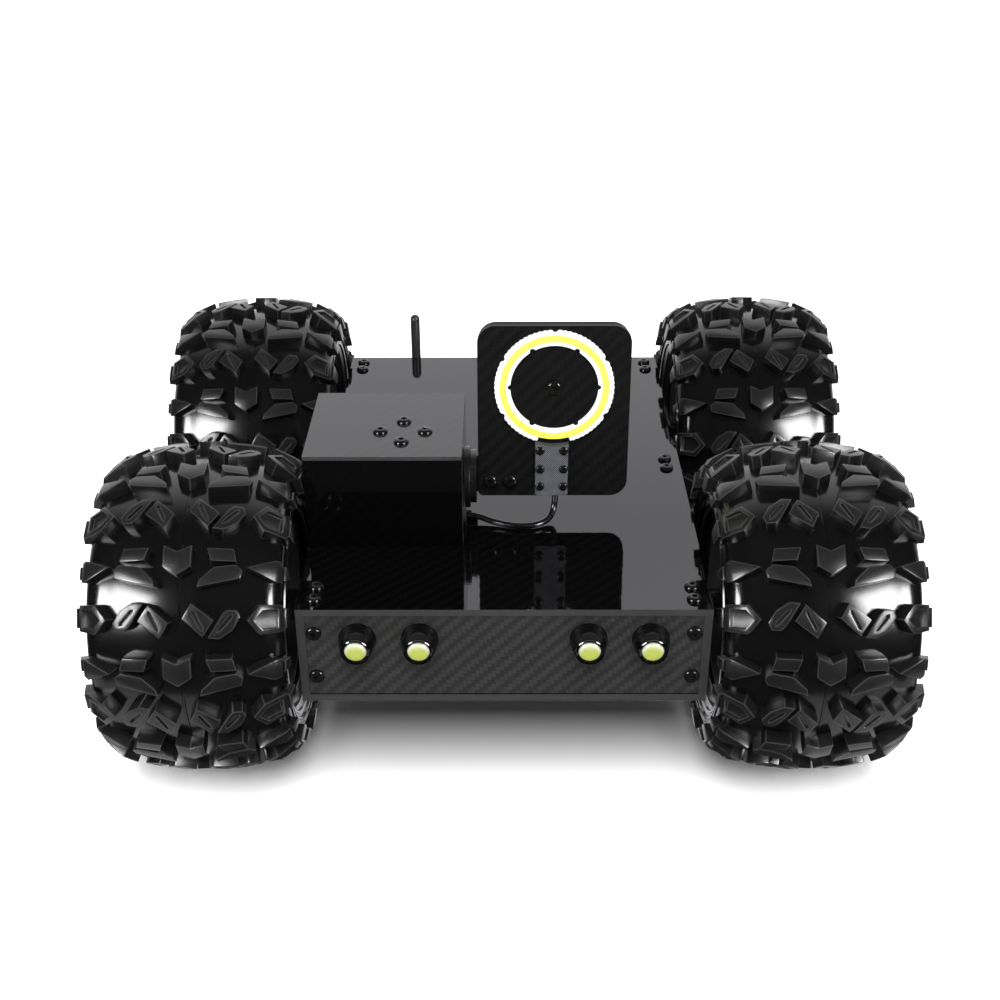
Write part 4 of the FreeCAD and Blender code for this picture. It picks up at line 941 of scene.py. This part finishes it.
# Glow of the floor: distances from the middle where it starts and stops growing, then its two strengths.
FLOOR_GLOW = (0.13, 0.3, 0.005, 0.7)
floor_shader = Shader("studio_floor")
reach = floor_shader.node("ShaderNodeVectorMath", operation="LENGTH")
floor_shader.link(floor_shader.place(), reach.inputs[0])
far_glow = floor_shader.node("ShaderNodeMapRange", interpolation_type="SMOOTHSTEP")
floor_shader.link(reach.outputs["Value"], far_glow.inputs[0])
for socket, value in zip(far_glow.inputs[1:5], FLOOR_GLOW):
    socket.default_value = value
floor_shader.set(color=floor_shader.mix(floor_shader.noise(3.0, 2.0), grey(0.88), grey(0.9)), roughness=1.0,
                 specular=0.0, glow=(1, 1, 1, 1), glow_strength=far_glow.outputs[0])
floor = flat_plane("studio_floor", 12.0, 12.0, Matrix.Translation((0, 0, -0.0002)))
floor.data.materials.append(floor_shader.material)
floor.visible_glossy = False
floor.visible_transmission = False


def aimed(place, target):
    """Matrix at a place with its -Z axis toward the target."""
    way = Vector(target) - Vector(place)
    return Matrix.Translation(place) @ way.to_track_quat("-Z", "Y").to_matrix().to_4x4()


def softbox(name, width, depth, place, strength):
    """Glowing panel that is only seen in reflections."""
    panel = flat_plane(name, width, depth, place)
    material = bpy.data.materials.new(name)
    material.use_nodes = True
    tree = material.node_tree
    tree.nodes.clear()
    emission = tree.nodes.new("ShaderNodeEmission")
    emission.inputs["Strength"].default_value = strength
    output = tree.nodes.new("ShaderNodeOutputMaterial")
    tree.links.new(emission.outputs[0], output.inputs[0])
    material.cycles.emission_sampling = "NONE"
    panel.data.materials.append(material)
    panel.visible_camera = False
    panel.visible_diffuse = False
    panel.visible_shadow = False


for side in (-1, 1):
    place = aimed((side * 0.79, -0.81, 0.54), (side * 0.15, -0.1, 0.1))
    softbox("softbox", 0.4, 0.4, place, 30.0)
    softbox("floor_bounce", 0.2, 0.15, Matrix.Translation((side * 0.25, -0.215, 0.0004)), 0.8)


def area_light(name, place, target, size, power):
    """Square soft light at a place, turned toward the target."""
    data = bpy.data.lights.new(name, "AREA")
    data.size = size
    data.energy = power
    light = bpy.data.objects.new(name, data)
    bpy.context.collection.objects.link(light)
    light.matrix_world = aimed(place, target)
    return light


for name, place, size, power in (("overhead", (0.0, 0.3, 1.7), 1.6, 10.0),
                                 ("front_key", (0.0, -1.0, 1.5), 1.1, 55.0)):
    light = area_light(name, place, (0, -0.1, 0), size, power)
    light.visible_glossy = False

# The studio is bright behind the object and dark in front of it, by the Y of the direction looked in with a
# share of its Z: where the light starts and stops growing, then its two strengths.
WORLD_FADE = (0.3, 0.8, 0.05, 1.3)
Z_SHARE = 0.15
BACKDROP = 1.06                 # strength that the camera sees
world = bpy.data.worlds.new("studio")
world.use_nodes = True
bpy.context.scene.world = world
tree = world.node_tree
background = tree.nodes["Background"]
background.inputs["Color"].default_value = (0.975, 0.96, 1.0, 1)
where = tree.nodes.new("ShaderNodeTexCoord")
split = tree.nodes.new("ShaderNodeSeparateXYZ")
tree.links.new(where.outputs["Generated"], split.inputs[0])
lift = tree.nodes.new("ShaderNodeMath")
lift.operation = "MULTIPLY_ADD"
lift.inputs[1].default_value = Z_SHARE
tree.links.new(split.outputs["Z"], lift.inputs[0])
tree.links.new(split.outputs["Y"], lift.inputs[2])
fade = tree.nodes.new("ShaderNodeMapRange")
fade.interpolation_type = "SMOOTHSTEP"
for socket, value in zip(fade.inputs[1:5], WORLD_FADE):
    socket.default_value = value
tree.links.new(lift.outputs[0], fade.inputs[0])
light_path = tree.nodes.new("ShaderNodeLightPath")
choose = tree.nodes.new("ShaderNodeMix")
choose.data_type = "FLOAT"
tree.links.new(light_path.outputs["Is Camera Ray"], choose.inputs[0])
tree.links.new(fade.outputs[0], choose.inputs[2])
choose.inputs[3].default_value = BACKDROP
tree.links.new(choose.outputs[0], background.inputs["Strength"])
bpy.context.scene.view_settings.view_transform = "Standard"
